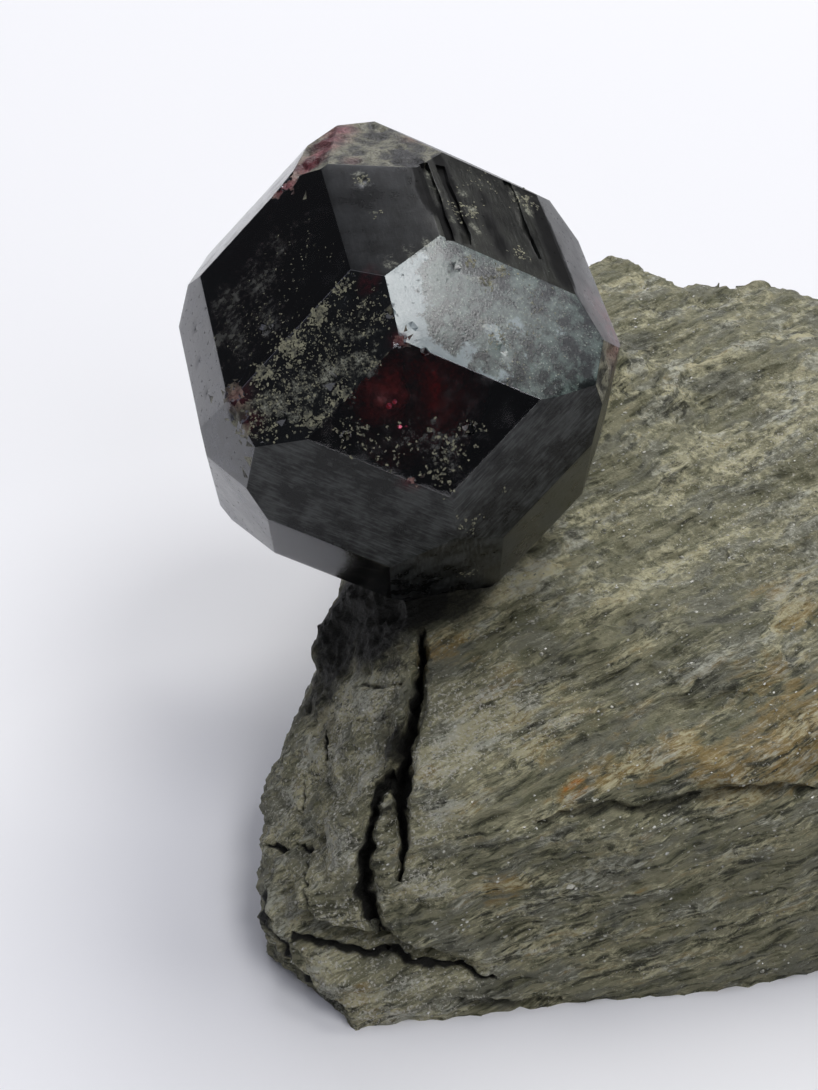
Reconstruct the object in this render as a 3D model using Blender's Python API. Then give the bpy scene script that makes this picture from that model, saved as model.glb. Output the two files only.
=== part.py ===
"""A garnet crystal in its schist matrix.

Metres, +Z up. The slab of mica schist lies flat on its underside and holds one
large garnet at its left end. The origin is at the bottom centre of the whole.
"""
import math

import bmesh
import bpy
from mathutils import Euler, Matrix, Vector, noise

MM = 0.001
NAME = "garnet_in_matrix"
GAP = 0.3 * MM

# moves the whole so that the origin is at its bottom centre
CENTRING = Vector((-0.69, 0.08, 0.0)) * MM

# ---- the garnet: where it sits, how it is turned and how far each face lies out
CRYSTAL_CENTRE = Vector((-19.35, -1.35, 22.0)) * MM
CRYSTAL_TURN = Euler([math.radians(a) for a in (20.06, -8.07, -127.17)])
BLANK_SIDE = 40 * MM
PLAIN_REACH = 10.7 * MM

# faces of the rhombic dodecahedron, by their Miller indices
DODECAHEDRON = {
    (1, 1, 0): 11.32 * MM,
    (1, 0, 1): 10.07 * MM,
    (0, 1, 1): 10.0 * MM,
    (1, 0, -1): 11.66 * MM,
    (0, 1, -1): 11.2 * MM,
    (1, -1, 0): 10.4 * MM,
    (-1, 1, 0): 9.7 * MM,
    (0, -1, 1): 9.6 * MM,
}

# faces of the trapezohedron
TRAPEZOHEDRON = {
    (1, 2, 1): 10.72 * MM,
    (2, 1, 1): 11.21 * MM,
    (1, 1, 2): 10.34 * MM,
    (1, 2, -1): 11.76 * MM,
    (2, 1, -1): 11.74 * MM,
    (1, 1, -2): 11.61 * MM,
    (-1, 2, 1): 10.24 * MM,
    (2, -1, 1): 10.92 * MM,
    (2, -1, -1): 11.52 * MM,
    (1, -1, 2): 10.23 * MM,
    (-1, 1, 2): 9.96 * MM,
    (1, -2, 1): 10.3 * MM,
    (-2, 1, 1): 9.7 * MM,
    (-1, 2, -1): 10.6 * MM,
}

# the thin face that blunts one front edge
NARROW_FACE = Vector((2, 3, -1))
NARROW_REACH = 11.93 * MM

# broken points of the crystal: the direction of each break and its reach
CHIPS = (
    (Vector((0.07, 0.27, 0.96)), 10.42 * MM),
    (Vector((0.29, -0.08, 0.95)), 10.78 * MM),
    (Vector((0.97, -0.25, 0.02)), 12.35 * MM),
    (Vector((-0.21, 0.97, -0.10)), 12.10 * MM),
)

# growth steps: grooves that run beside the edge of two upper faces
STEP_FACE = Vector((0, 1, 1)).normalized()
STEP_NEXT_FACE = Vector((1, 1, 2)).normalized()
STEP_LENGTH = 5.6 * MM
STEP_WIDTH = 0.46 * MM
STEP_DEPTH = 0.36 * MM
STEP_OFFSETS = (0.50 * MM, 1.35 * MM, 5.0 * MM)

# small pits on the crystal: place in crystal axes and radius, in mm
PITS = (
    ((7.9, 7.6, 3.2), 0.34),
    ((7.9, 8.1, 2.1), 0.30),
    ((4.8, 8.2, 5.1), 0.36),
    ((5.0, 10.0, 1.2), 0.40),
    ((10.6, 4.6, 1.6), 0.55),
    ((12.2, 2.7, 0.4), 0.45),
    ((9.2, -4.3, 4.0), 0.32),
    ((11.6, -2.1, 1.5), 0.30),
    ((10.3, -3.4, 2.7), 0.26),
    ((7.0, 9.0, -1.8), 0.42),
    ((3.8, 3.0, 9.3), 0.38),
    ((10.3, 1.2, 4.0), 0.46),
)

# ---- the schist: a thick slab cut by its breaks
SLAB_LENGTH = 80 * MM
SLAB_DEPTH = 70 * MM
SLAB_HEIGHT = 30 * MM

# each break: a point on it (x, y, z in mm) and the way it faces (azimuth and rise, degrees)
BREAKS = {
    "top": ((-10.0, -9.4, 12.0), (272.0, 87.0)),
    "shoulder": ((-10.0, -20.4, 9.9), (266.0, 76.0)),
    "brow": ((-10.0, -20.6, 8.9), (276.0, 46.0)),
    "left_top": ((-19.0, -17.4, 10.6), (192.0, 45.0)),
    "left_end": ((-26.4, -15.4, 5.0), (182.0, -6.0)),
    "left_back": ((-23.5, -3.0, 5.0), (165.0, 10.0)),
    "front_left": ((-23.8, -23.3, 1.0), (222.0, -6.0)),
    "tip": ((-20.0, -26.5, 0.0), (260.0, 34.0)),
    "front": ((-9.9, -24.2, 0.0), (278.0, 20.0)),
    "front_far": ((2.6, -21.7, 0.0), (286.0, 17.0)),
    "right_front": ((22.0, -13.0, 6.0), (322.0, 10.0)),
    "right_end": ((30.2, 2.0, 4.0), (8.0, 12.0)),
    "back_right": ((22.0, 16.0, 6.0), (58.0, 8.0)),
    "back": ((2.0, 23.0, 12.0), (73.0, -6.0)),
    "back_left": ((-16.0, 18.6, 6.0), (128.0, 4.0)),
}

# how closely the stone's skin is divided, near the crystal and far from it
FINE_EDGE = 1.15 * MM
COARSE_EDGE = 2.6 * MM
COARSE_FROM_X = 4.0 * MM

# foliation: the thin mica layers lie nearly level and make low terraces
LAYER_UP = Vector((-0.14, 0.20, 0.97)).normalized()
LAYER_STEP = 1.1 * MM
TERRACE_RISE = 0.42 * MM
EDGE_RELIEF = 0.55 * MM
LUMP_SIZE = 8.0 * MM
LUMP_RISE = 0.9 * MM
KNOB_SIZE = 2.6 * MM
KNOB_RISE = 0.3 * MM
GRAIN_ALONG = Vector((0.82, 0.56, 0.12)).normalized()
RIDGE_LENGTH = 8.0 * MM
RIDGE_WIDTH = 1.9 * MM
RIDGE_RISE = 0.75 * MM
SEED = Vector((3.7, 1.9, 8.2))

# swellings and hollows: place (x, y, z in mm), radius and rise in mm
SWELLINGS = (
    ((-9.5, 8.5, 13.0), 6.5, 3.2),
    ((-14.0, 11.5, 13.0), 6.0, 2.0),
    ((-10.0, -22.5, 11.5), 2.2, 0.8),
    ((-1.0, -4.0, 12.0), 7.0, -0.5),
    ((4.0, 12.0, 13.0), 6.0, 0.8),
    ((-6.0, -22.5, 10.0), 3.0, -0.7),
)

# cracks: wedges that follow the skin, each stop (across, along, level, half width) in mm
TOP_CRACK_DEPTH = 1.3 * MM
TOP_CRACK_RISE = 2.2 * MM
TOP_CRACK_LEAN = 4.6 * MM
TOP_CRACK = (
    (-17.7, -8.8, 12.0, 0.10),
    (-18.3, -12.4, 11.9, 0.22),
    (-18.0, -14.4, 11.6, 0.25),
    (-18.7, -17.4, 10.9, 0.35),
    (-19.2, -19.6, 10.0, 0.45),
    (-19.5, -21.6, 9.0, 0.40),
)
FRONT_CRACK_DEPTH = 1.3 * MM
FRONT_CRACK_RISE = 2.6 * MM
FRONT_CRACK = (
    (-19.5, 10.4, 20.0, 0.35),
    (-20.4, 9.0, 21.2, 0.40),
    (-20.9, 7.4, 22.4, 0.45),
    (-20.3, 4.9, 23.8, 0.40),
    (-19.8, 3.8, 24.4, 0.12),
)
SIDE_CRACK = (
    (-19.2, 10.0, 20.6, 0.30),
    (-19.0, 8.6, 21.4, 0.22),
    (-19.1, 7.0, 22.3, 0.16),
    (-18.8, 5.6, 23.0, 0.06),
)
LEDGE_CRACK_LEAN = 1.5 * MM
LEDGE_CRACK = (
    (-26.6, 4.6, 19.4, 0.24),
    (-25.2, 4.3, 20.4, 0.36),
    (-23.2, 4.0, 22.6, 0.42),
    (-21.4, 3.6, 23.6, 0.44),
    (-19.4, 3.8, 23.7, 0.42),
    (-17.6, 3.1, 23.8, 0.28),
    (-15.9, 2.5, 23.7, 0.24),
    (-13.4, 2.6, 23.3, 0.14),
    (-11.0, 2.6, 23.0, 0.06),
)

GARNET_COLOUR = (0.030, 0.012, 0.014, 1.0)
SCHIST_COLOUR = (0.190, 0.185, 0.140, 1.0)


def new_collection(name):
    """Return a new collection linked to the scene."""
    made = bpy.data.collections.new(name)
    bpy.context.scene.collection.children.link(made)
    return made


def new_object(name, bm, collection):
    """Turn a bmesh into an object in a collection."""
    mesh = bpy.data.meshes.new(name)
    bm.to_mesh(mesh)
    bm.free()
    made = bpy.data.objects.new(name, mesh)
    collection.objects.link(made)
    return made


def new_material(name, colour, roughness):
    """Return a Principled material."""
    made = bpy.data.materials.new(name)
    made.use_nodes = True
    shader = made.node_tree.nodes["Principled BSDF"]
    shader.inputs["Base Color"].default_value = colour
    shader.inputs["Roughness"].default_value = roughness
    shader.inputs["Metallic"].default_value = 0.0
    return made


def facing(azimuth, rise):
    """Return the unit vector with this azimuth and rise in degrees."""
    turn = math.radians(azimuth)
    lift = math.radians(rise)
    return Vector((math.cos(turn) * math.cos(lift), math.sin(turn) * math.cos(lift), math.sin(lift)))


def slice_off(bm, point, normal):
    """Cut away the side of a convex solid that the normal points to."""
    geometry = bm.verts[:] + bm.edges[:] + bm.faces[:]
    cut = bmesh.ops.bisect_plane(
        bm, geom=geometry, dist=1e-8, plane_co=point, plane_no=normal, clear_outer=True
    )
    rim = [item for item in cut["geom_cut"] if isinstance(item, bmesh.types.BMEdge)]
    if rim:
        bmesh.ops.contextual_create(bm, geom=rim)


def crystal_faces():
    """Return each crystal face's direction and reach, both forms in full."""
    found = []
    signs = (-1, 0, 1)
    for a in (-2, -1, 0, 1, 2):
        for b in (-2, -1, 0, 1, 2):
            for c in (-2, -1, 0, 1, 2):
                sizes = sorted((abs(a), abs(b), abs(c)))
                if sizes == [0, 1, 1] and a in signs:
                    found.append((Vector((a, b, c)).normalized(), DODECAHEDRON.get((a, b, c), PLAIN_REACH)))
                if sizes == [1, 1, 2]:
                    found.append((Vector((a, b, c)).normalized(), TRAPEZOHEDRON.get((a, b, c), PLAIN_REACH)))
    return found


def grow_crystal(name, collection, extra):
    """Cut a blank by every crystal face, each moved out by extra."""
    bm = bmesh.new()
    bmesh.ops.create_cube(bm, size=BLANK_SIDE)
    for normal, reach in crystal_faces():
        slice_off(bm, normal * (reach + extra), normal)
    if extra == 0.0:
        slice_off(bm, NARROW_FACE.normalized() * NARROW_REACH, NARROW_FACE.normalized())
        for direction, reach in CHIPS:
            slice_off(bm, direction.normalized() * reach, direction.normalized())
    bmesh.ops.recalc_face_normals(bm, faces=bm.faces[:])
    made = new_object(name, bm, collection)
    made.location = CRYSTAL_CENTRE
    made.rotation_euler = CRYSTAL_TURN
    return made


def step_cutter(index, offset, collection):
    """Make the box that cuts one growth step into the stepped face."""
    along = STEP_FACE.cross(STEP_NEXT_FACE).normalized()
    across = along.cross(STEP_FACE).normalized()
    if across.dot(STEP_NEXT_FACE) > 0.0:
        across.negate()
    reach = DODECAHEDRON[(0, 1, 1)]
    next_reach = TRAPEZOHEDRON[(1, 1, 2)]
    lean = STEP_FACE.dot(STEP_NEXT_FACE)
    edge_across = (next_reach - reach * lean) / across.dot(STEP_NEXT_FACE)
    middle = STEP_FACE * reach + across * (edge_across + offset) + along * (0.6 * MM)
    bm = bmesh.new()
    bmesh.ops.create_cube(bm, size=1.0)
    size = Matrix.Diagonal((STEP_LENGTH, STEP_WIDTH, 2.0 * STEP_DEPTH, 1.0))
    axes = Matrix((along, across, STEP_FACE)).transposed().to_4x4()
    bmesh.ops.transform(bm, matrix=Matrix.Translation(middle) @ axes @ size, verts=bm.verts[:])
    bmesh.ops.recalc_face_normals(bm, faces=bm.faces[:])
    made = new_object(f"growth_step_cutter_{index}", bm, collection)
    made.location = CRYSTAL_CENTRE
    made.rotation_euler = CRYSTAL_TURN
    return made


def pit_cutter(collection):
    """Make one cutter of small balls that sink a little into the crystal's faces."""
    bm = bmesh.new()
    for place, radius in PITS:
        spot = Vector(place) * MM
        normal, reach = max(crystal_faces(), key=lambda face: face[0].dot(spot) / face[1])
        spot += normal * (reach - normal.dot(spot) + 0.45 * radius * MM)
        bmesh.ops.create_icosphere(bm, subdivisions=1, radius=radius * MM, matrix=Matrix.Translation(spot))
    made = new_object("pit_cutter", bm, collection)
    made.location = CRYSTAL_CENTRE
    made.rotation_euler = CRYSTAL_TURN
    return made


def divide_long_edges(bm):
    """Divide the stone's skin until no edge is longer than its target."""
    for _ in range(8):
        long_edges = []
        for edge in bm.edges:
            middle = (edge.verts[0].co + edge.verts[1].co) / 2.0
            underneath = max(edge.verts[0].co.z, edge.verts[1].co.z) < 0.01 * MM
            inside = underneath and not any(face.normal.z > -0.9 for face in edge.link_faces)
            target = COARSE_EDGE if middle.x > COARSE_FROM_X else FINE_EDGE
            if not inside and edge.calc_length() > 1.45 * target:
                long_edges.append(edge)
        if not long_edges:
            return
        bmesh.ops.subdivide_edges(bm, edges=long_edges, cuts=1, use_grid_fill=False)
        sides = [face for face in bm.faces if len(face.verts) > 3 and face.normal.z > -0.9]
        bmesh.ops.triangulate(bm, faces=sides, quad_method="BEAUTY", ngon_method="BEAUTY")


def relief(point, normal):
    """Return how far a point of the stone's skin moves."""
    place = point / LUMP_SIZE + SEED
    lump = noise.noise(place) * LUMP_RISE
    knob = noise.noise(point / KNOB_SIZE + SEED * 2.0) * KNOB_RISE
    layer = point.dot(LAYER_UP) / LAYER_STEP + 0.5 * noise.noise(point / (5.0 * MM) + SEED)
    part = layer - math.floor(layer)
    on_top = max(0.0, normal.dot(LAYER_UP))
    terrace = (part - 0.5) * TERRACE_RISE * on_top * on_top
    band = noise.noise(Vector((layer * 0.9, point.x / (9.0 * MM), point.y / (9.0 * MM))))
    side = band * EDGE_RELIEF * (1.0 - on_top)
    grain_across = LAYER_UP.cross(GRAIN_ALONG)
    stretched = Vector(
        (
            point.dot(GRAIN_ALONG) / RIDGE_LENGTH,
            point.dot(grain_across) / RIDGE_WIDTH,
            point.dot(LAYER_UP) / RIDGE_WIDTH,
        )
    )
    ridge = noise.noise(stretched + SEED) * RIDGE_RISE
    smooth_foot = min(1.0, max(0.25, (point.z - 3.0 * MM) / (2.0 * MM)))
    return normal * ((lump + knob + ridge + side) * smooth_foot) - LAYER_UP * terrace


def swell(point):
    """Return the lift that the swellings and hollows give a point."""
    lift = 0.0
    for place, radius, rise in SWELLINGS:
        away = (point - Vector(place) * MM).length / (radius * MM)
        lift += rise * MM * math.exp(-away * away * 1.6)
    return Vector((0.0, 0.0, lift))


def break_slab(name, collection):
    """Cut a block by the stone's breaks and roughen its skin."""
    bm = bmesh.new()
    bmesh.ops.create_cube(bm, size=1.0)
    bmesh.ops.scale(bm, vec=(SLAB_LENGTH, SLAB_DEPTH, SLAB_HEIGHT), verts=bm.verts[:])
    bmesh.ops.translate(bm, vec=(0.0, 0.0, SLAB_HEIGHT / 2.0), verts=bm.verts[:])
    for point, (azimuth, rise) in BREAKS.values():
        slice_off(bm, Vector(point) * MM, facing(azimuth, rise))
    bmesh.ops.recalc_face_normals(bm, faces=bm.faces[:])
    divide_long_edges(bm)
    bm.normal_update()
    moves = []
    for vert in bm.verts:
        sides = [face.normal for face in vert.link_faces if face.normal.z > -0.9]
        normal = sum(sides, Vector()).normalized()
        moves.append(relief(vert.co, normal) + swell(vert.co))
    for vert, move in zip(bm.verts, moves):
        if vert.co.z < 0.01 * MM:
            move.z = 0.0
        vert.co += move
    skin = [vert for vert in bm.verts if vert.co.z > 0.01 * MM]
    bmesh.ops.smooth_vert(bm, verts=skin, factor=0.35, use_axis_x=True, use_axis_y=True, use_axis_z=True)
    bmesh.ops.recalc_face_normals(bm, faces=bm.faces[:])
    return new_object(name, bm, collection)


def crack_blade(name, path, depth, rise, lean, collection):
    """Loft a wedge along a path, wide above and thin at its foot.

    One flank leans out by lean where the crack is widest, so that lip lies lower.
    """
    stops = [(Vector((across, along, level)) * MM, half * MM) for across, along, level, half in path]
    widest = max(half for _, half in stops)
    bm = bmesh.new()
    rings = []
    for index, (spot, half) in enumerate(stops):
        before = stops[max(index - 1, 0)][0]
        after = stops[min(index + 1, len(stops) - 1)][0]
        side = (after - before).cross(Vector((0.0, 0.0, 1.0))).normalized()
        corners = (
            spot + side * (half * 2.0 + lean * (half / widest) ** 2) + Vector((0.0, 0.0, rise)),
            spot - side * half * 2.0 + Vector((0.0, 0.0, rise)),
            spot - side * half * 0.3 - Vector((0.0, 0.0, depth)),
            spot + side * half * 0.3 - Vector((0.0, 0.0, depth)),
        )
        rings.append([bm.verts.new(corner) for corner in corners])
    bm.faces.new(rings[0])
    bm.faces.new(rings[-1])
    for near, far in zip(rings, rings[1:]):
        for turn in range(4):
            following = (turn + 1) % 4
            bm.faces.new((near[turn], near[following], far[following], far[turn]))
    bmesh.ops.triangulate(bm, faces=bm.faces[:])
    bmesh.ops.recalc_face_normals(bm, faces=bm.faces[:])
    return new_object(name, bm, collection)


def cut_with(target, cutter):
    """Subtract a cutter from a piece with a Boolean modifier."""
    cutter.hide_render = True
    cutter.display_type = "WIRE"
    modifier = target.modifiers.new(cutter.name, "BOOLEAN")
    modifier.operation = "DIFFERENCE"
    modifier.solver = "EXACT"
    modifier.object = cutter


def build_crystal(parts, cutters):
    """Build the garnet with its broken points and growth steps."""
    crystal = grow_crystal("garnet_crystal", parts, 0.0)
    for index, offset in enumerate(STEP_OFFSETS):
        cut_with(crystal, step_cutter(index, offset, cutters))
    cut_with(crystal, pit_cutter(cutters))
    crystal.data.materials.append(new_material("garnet", GARNET_COLOUR, 0.35))
    return crystal


def build_matrix(parts, cutters):
    """Build the schist slab, its socket for the garnet and its cracks."""
    stone = break_slab("schist_matrix", parts)
    cut_with(stone, grow_crystal("socket_cutter", cutters, GAP))
    top = crack_blade("top_crack_cutter", TOP_CRACK, TOP_CRACK_DEPTH, TOP_CRACK_RISE, TOP_CRACK_LEAN, cutters)
    cut_with(stone, top)
    upright = (
        ("front_crack", FRONT_CRACK, 0.0),
        ("side_crack", SIDE_CRACK, 0.0),
        ("ledge_crack", LEDGE_CRACK, LEDGE_CRACK_LEAN),
    )
    for name, path, lean in upright:
        blade = crack_blade(name + "_cutter", path, FRONT_CRACK_DEPTH, FRONT_CRACK_RISE, lean, cutters)
        blade.rotation_euler.x = math.pi / 2.0
        cut_with(stone, blade)
    stone.data.materials.append(new_material("mica_schist", SCHIST_COLOUR, 0.8))
    return stone


def main():
    """Clear the scene and build the two grown pieces."""
    for item in list(bpy.data.objects):
        bpy.data.objects.remove(item)
    parts = new_collection(NAME)
    cutters = new_collection(NAME + "_cutters")
    build_crystal(parts, cutters)
    build_matrix(parts, cutters)
    frame = bpy.data.objects.new(NAME + "_frame", None)
    parts.objects.link(frame)
    frame.location = CENTRING
    for item in parts.objects[:] + cutters.objects[:]:
        if item != frame:
            item.parent = frame


main()
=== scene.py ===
"""Dresses the garnet crystal and its schist matrix, and lights and frames them.

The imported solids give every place. The crystal gets softened edges, slightly
domed faces, broken points, a thin weathered film and a crust of chlorite; the
schist gets its foliation, its mica and its quartz. Lengths are in metres
unless a name says millimetres.
"""
from __future__ import annotations

import logging
import math
import random
from collections.abc import Iterable
from dataclasses import dataclass, field
from enum import Enum
from itertools import product

import bmesh
import bpy
from mathutils import Euler, Matrix, Vector, kdtree, noise


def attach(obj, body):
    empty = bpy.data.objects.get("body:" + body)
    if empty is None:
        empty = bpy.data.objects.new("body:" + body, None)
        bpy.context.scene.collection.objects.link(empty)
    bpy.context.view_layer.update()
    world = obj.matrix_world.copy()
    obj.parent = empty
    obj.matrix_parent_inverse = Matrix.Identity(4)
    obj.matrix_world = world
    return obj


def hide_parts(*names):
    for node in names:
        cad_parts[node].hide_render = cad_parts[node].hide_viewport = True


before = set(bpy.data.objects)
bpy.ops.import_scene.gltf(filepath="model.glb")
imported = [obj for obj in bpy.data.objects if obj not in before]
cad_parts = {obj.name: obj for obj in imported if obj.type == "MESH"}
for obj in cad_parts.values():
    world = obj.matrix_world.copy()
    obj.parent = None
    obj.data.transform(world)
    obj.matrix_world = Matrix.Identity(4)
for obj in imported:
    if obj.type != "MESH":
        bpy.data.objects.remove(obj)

MM = 0.001
ROOT = "root"
LOG = logging.getLogger("garnet")

Miller = tuple[int, int, int]
Place = tuple[float, float, float]
Spots = tuple[tuple[Place, float, float], ...]
Waves = tuple[tuple[float, float], ...]
Worn = list[tuple[Vector, float]]
Socket = bpy.types.NodeSocket


def linear(code: str) -> tuple[float, float, float, float]:
    """Turn an sRGB hex colour into linear values.

    Args:
        code: Six hex digits after a hash.

    Returns:
        Linear red, green and blue, and an alpha of 1.
    """
    parts = [int(code[i : i + 2], 16) / 255.0 for i in (1, 3, 5)]
    flat = [c / 12.92 if c <= 0.04045 else ((c + 0.055) / 1.055) ** 2.4 for c in parts]
    return (flat[0], flat[1], flat[2], 1.0)


class Recipe:
    """A material in the making: its node tree, its shader and the steps that build a finish."""

    def __init__(self, name: str) -> None:
        """Start an empty tree that ends in a Principled shader.

        Args:
            name: The material's name.
        """
        self.material = bpy.data.materials.new(name)
        self.material.use_nodes = True
        self.tree = self.material.node_tree
        self.tree.nodes.clear()
        self.shader = self.node("BsdfPrincipled")
        self.out = self.node("OutputMaterial", Surface=self.shader.outputs["BSDF"])

    def node(self, kind: str, **parts: object) -> bpy.types.Node:
        """Add a node, set its properties and fill its sockets.

        Args:
            kind: The node's type name, without ShaderNode before it.
            **parts: Names in small letters are the node's own properties. Names
                with a capital (underscores for spaces) and i with a number are
                sockets, which get a plain value or a link from another socket.

        Returns:
            The new node.
        """
        node = self.tree.nodes.new("ShaderNode" + kind)
        for name, value in parts.items():
            by_index = name[0] == "i" and name[1:].isdigit()
            if not by_index and name[0].islower():
                setattr(node, name, value)
                continue
            socket = node.inputs[int(name[1:]) if by_index else name.replace("_", " ")]
            if isinstance(value, Socket):
                self.tree.links.new(value, socket)
            else:
                socket.default_value = value
        return node

    def weigh(self, start: float | Socket, *parts: tuple) -> Socket:
        """Add weighted values up.

        Args:
            start: What the sum starts from.
            *parts: A value, its weight and, where it has one, the middle that
                the value is counted from.

        Returns:
            The sum.
        """
        for value, weight, *middle in parts:
            if middle:
                value = self.node("Math", operation="SUBTRACT", i0=value, i1=middle[0]).outputs[0]
            start = self.node("Math", operation="MULTIPLY_ADD", i0=value, i1=weight, i2=start).outputs[0]
        return start

    def share(self, most: float | Socket, *rises: tuple[Socket, float, float]) -> Socket:
        """Work out how much of a coat shows.

        Args:
            most: The most that shows.
            *rises: A value and the two limits between which it smoothly lets
                the coat come up, from none to all.

        Returns:
            The share, from 0 to the most.
        """
        for value, low, high in rises:
            smooth = {"interpolation_type": "SMOOTHSTEP", "From_Min": low, "From_Max": high}
            rise = self.node("MapRange", Value=value, **smooth).outputs[0]
            most = self.node("Math", operation="MULTIPLY", i0=rise, i1=most).outputs[0]
        return most

    def coat(self, ground: str, *coats: tuple[Socket, str | Socket]) -> Socket:
        """Lay coats of colour over a ground.

        Args:
            ground: The ground's colour.
            *coats: How much of each coat shows, and its colour.

        Returns:
            The colour that is seen.
        """
        seen = linear(ground)
        for amount, tint in coats:
            over = linear(tint) if isinstance(tint, str) else tint
            seen = self.node("Mix", data_type="RGBA", i0=amount, i6=seen, i7=over).outputs[2]
        return seen

    def finish(
        self,
        colour: Socket,
        roughness: Socket,
        ior: float,
        relief: tuple[Socket, float, float] | None = None,
    ) -> bpy.types.Material:
        """Give the shader its colour, gloss and fine relief.

        Args:
            colour: The base colour.
            roughness: The roughness.
            ior: The index of refraction.
            relief: The relief's height, its strength and how high it is in mm.

        Returns:
            The material.
        """
        links = {"Base Color": colour, "Roughness": roughness}
        if relief:
            height, strength, rise_mm = relief
            bump = self.node("Bump", Height=height, Strength=strength, Distance=rise_mm * MM)
            links["Normal"] = bump.outputs["Normal"]
        for name, socket in links.items():
            self.tree.links.new(socket, self.shader.inputs[name])
        self.shader.inputs["IOR"].default_value = ior
        return self.material


def within(value: float) -> float:
    """Return a value kept between 0 and 1."""
    return min(1.0, max(0.0, value))


def bumps(place: Vector, waves: Waves) -> float:
    """Return a bumpy value at a place: the noise of each wave's size in mm, times its strength."""
    return sum(strength * noise.noise(place / (size_mm * MM)) for size_mm, strength in waves)


def toward(azimuth: float, rise: float) -> Vector:
    """Return the unit vector with this azimuth from +X and this rise, in degrees."""
    turn, lift = math.radians(azimuth), math.radians(rise)
    return Vector((math.cos(turn) * math.cos(lift), math.sin(turn) * math.cos(lift), math.sin(lift)))


def facing(normal: Vector) -> Matrix:
    """Return the turn that points Z this way."""
    return normal.to_track_quat("Z", "Y").to_matrix().to_4x4()


def into_scene(name: str, data: bpy.types.ID) -> bpy.types.Object:
    """Make an object of a mesh, a light or a camera and put it in the scene.

    Args:
        name: The object's name.
        data: The mesh, light or camera.

    Returns:
        The new object.
    """
    made = bpy.data.objects.new(name, data)
    bpy.context.scene.collection.objects.link(made)
    return made


def mesh_of(bm: bmesh.types.BMesh, name: str) -> bpy.types.Mesh:
    """Make a mesh of a bmesh, which is freed.

    Args:
        bm: The shape.
        name: The mesh's name.

    Returns:
        The new mesh.
    """
    mesh = bpy.data.meshes.new(name)
    bm.to_mesh(mesh)
    bm.free()
    return mesh


def piece_from(
    bm: bmesh.types.BMesh,
    name: str,
    materials: Iterable[bpy.types.Material],
    sharp_degrees: float,
) -> bpy.types.Object:
    """Make a finished piece at the origin from a bmesh and let it ride on the part.

    Args:
        bm: The shape, in the part's own frame; it is freed.
        name: The piece's name.
        materials: The materials of its slots.
        sharp_degrees: Edges that turn by more than this stay sharp.

    Returns:
        The new object.
    """
    mesh = mesh_of(bm, name)
    for material in materials:
        mesh.materials.append(material)
    mesh.shade_smooth()
    mesh.set_sharp_from_angle(angle=math.radians(sharp_degrees))
    made = into_scene(name, mesh)
    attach(made, ROOT)
    return made


def merged_copy(node: str) -> bmesh.types.BMesh:
    """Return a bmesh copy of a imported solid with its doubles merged.

    Args:
        node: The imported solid's node.

    Returns:
        The copy.
    """
    bm = bmesh.new()
    bm.from_mesh(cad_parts[node].data)
    bmesh.ops.remove_doubles(bm, verts=bm.verts[:], dist=1e-6)
    return bm


def search_tree(bm: bmesh.types.BMesh) -> kdtree.KDTree:
    """Return a search tree of a mesh's vertices.

    Args:
        bm: The mesh.

    Returns:
        The balanced tree.
    """
    tree = kdtree.KDTree(len(bm.verts))
    for index, vert in enumerate(bm.verts):
        tree.insert(vert.co, index)
    tree.balance()
    return tree


@dataclass
class Stamp:
    """A small shape that is laid down many times in a bigger mesh."""

    mesh: bpy.types.Mesh
    rest: list[float] = field(default_factory=list)

    @classmethod
    def grain(cls, chance: random.Random) -> Stamp:
        """Make one uneven grain, 2 across.

        Args:
            chance: The source of chance.

        Returns:
            The grain.
        """
        bm = bmesh.new()
        bmesh.ops.create_icosphere(bm, subdivisions=1, radius=1.0)
        for vert in bm.verts:
            vert.co *= chance.uniform(0.68, 1.22)
        return cls.of(bm)

    @classmethod
    def flake(cls, chance: random.Random) -> Stamp:
        """Make one thin five-sided flake, 2 across.

        Args:
            chance: The source of chance.

        Returns:
            The flake.
        """
        bm = bmesh.new()
        bmesh.ops.create_cone(bm, cap_ends=True, segments=5, radius1=1.0, radius2=0.9, depth=0.25)
        lower = [vert for vert in bm.verts if vert.co.z < 0]
        for vert in bm.verts:
            if vert.co.z > 0:
                stretch = chance.uniform(0.6, 1.2)
                below = min(lower, key=lambda item: (item.co.xy - vert.co.xy).length)
                vert.co.xy *= stretch
                below.co.xy *= stretch
        return cls.of(bm)

    @classmethod
    def of(cls, bm: bmesh.types.BMesh) -> Stamp:
        """Keep a bmesh as a stamp and free it.

        Args:
            bm: The shape.

        Returns:
            The stamp.
        """
        mesh = mesh_of(bm, "stamp")
        rest = [0.0] * (3 * len(mesh.vertices))
        mesh.vertices.foreach_get("co", rest)
        return cls(mesh, rest)

    def lay(self, bm: bmesh.types.BMesh, matrix: Matrix) -> None:
        """Add the shape to a mesh at a place.

        Args:
            bm: The bigger mesh.
            matrix: The place, the turn and the size.
        """
        self.mesh.vertices.foreach_set("co", self.rest)
        self.mesh.transform(matrix)
        bm.from_mesh(self.mesh)


class Surface(Enum):
    """How growth and weather left one face of the crystal; the value is its material slot."""

    CLEAR = 0
    POLISHED = 1
    SATIN = 2
    FROSTED = 3
    LINED = 4
    PITTED = 5
    BROKEN = 6
    GROOVED = 7


@dataclass(frozen=True)
class Plane:
    """One flat face of the crystal."""

    normal: Vector
    reach: float
    surface: Surface
    lines: Vector

    def depth(self, place: Vector) -> float:
        """Return how far a point lies under the face."""
        return self.reach - self.normal.dot(place)

    @staticmethod
    def nearest(planes: list[Plane], place: Vector) -> Plane:
        """Return the flat face that lies nearest to a point."""
        return min(planes, key=lambda plane: abs(plane.depth(place)))


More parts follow.
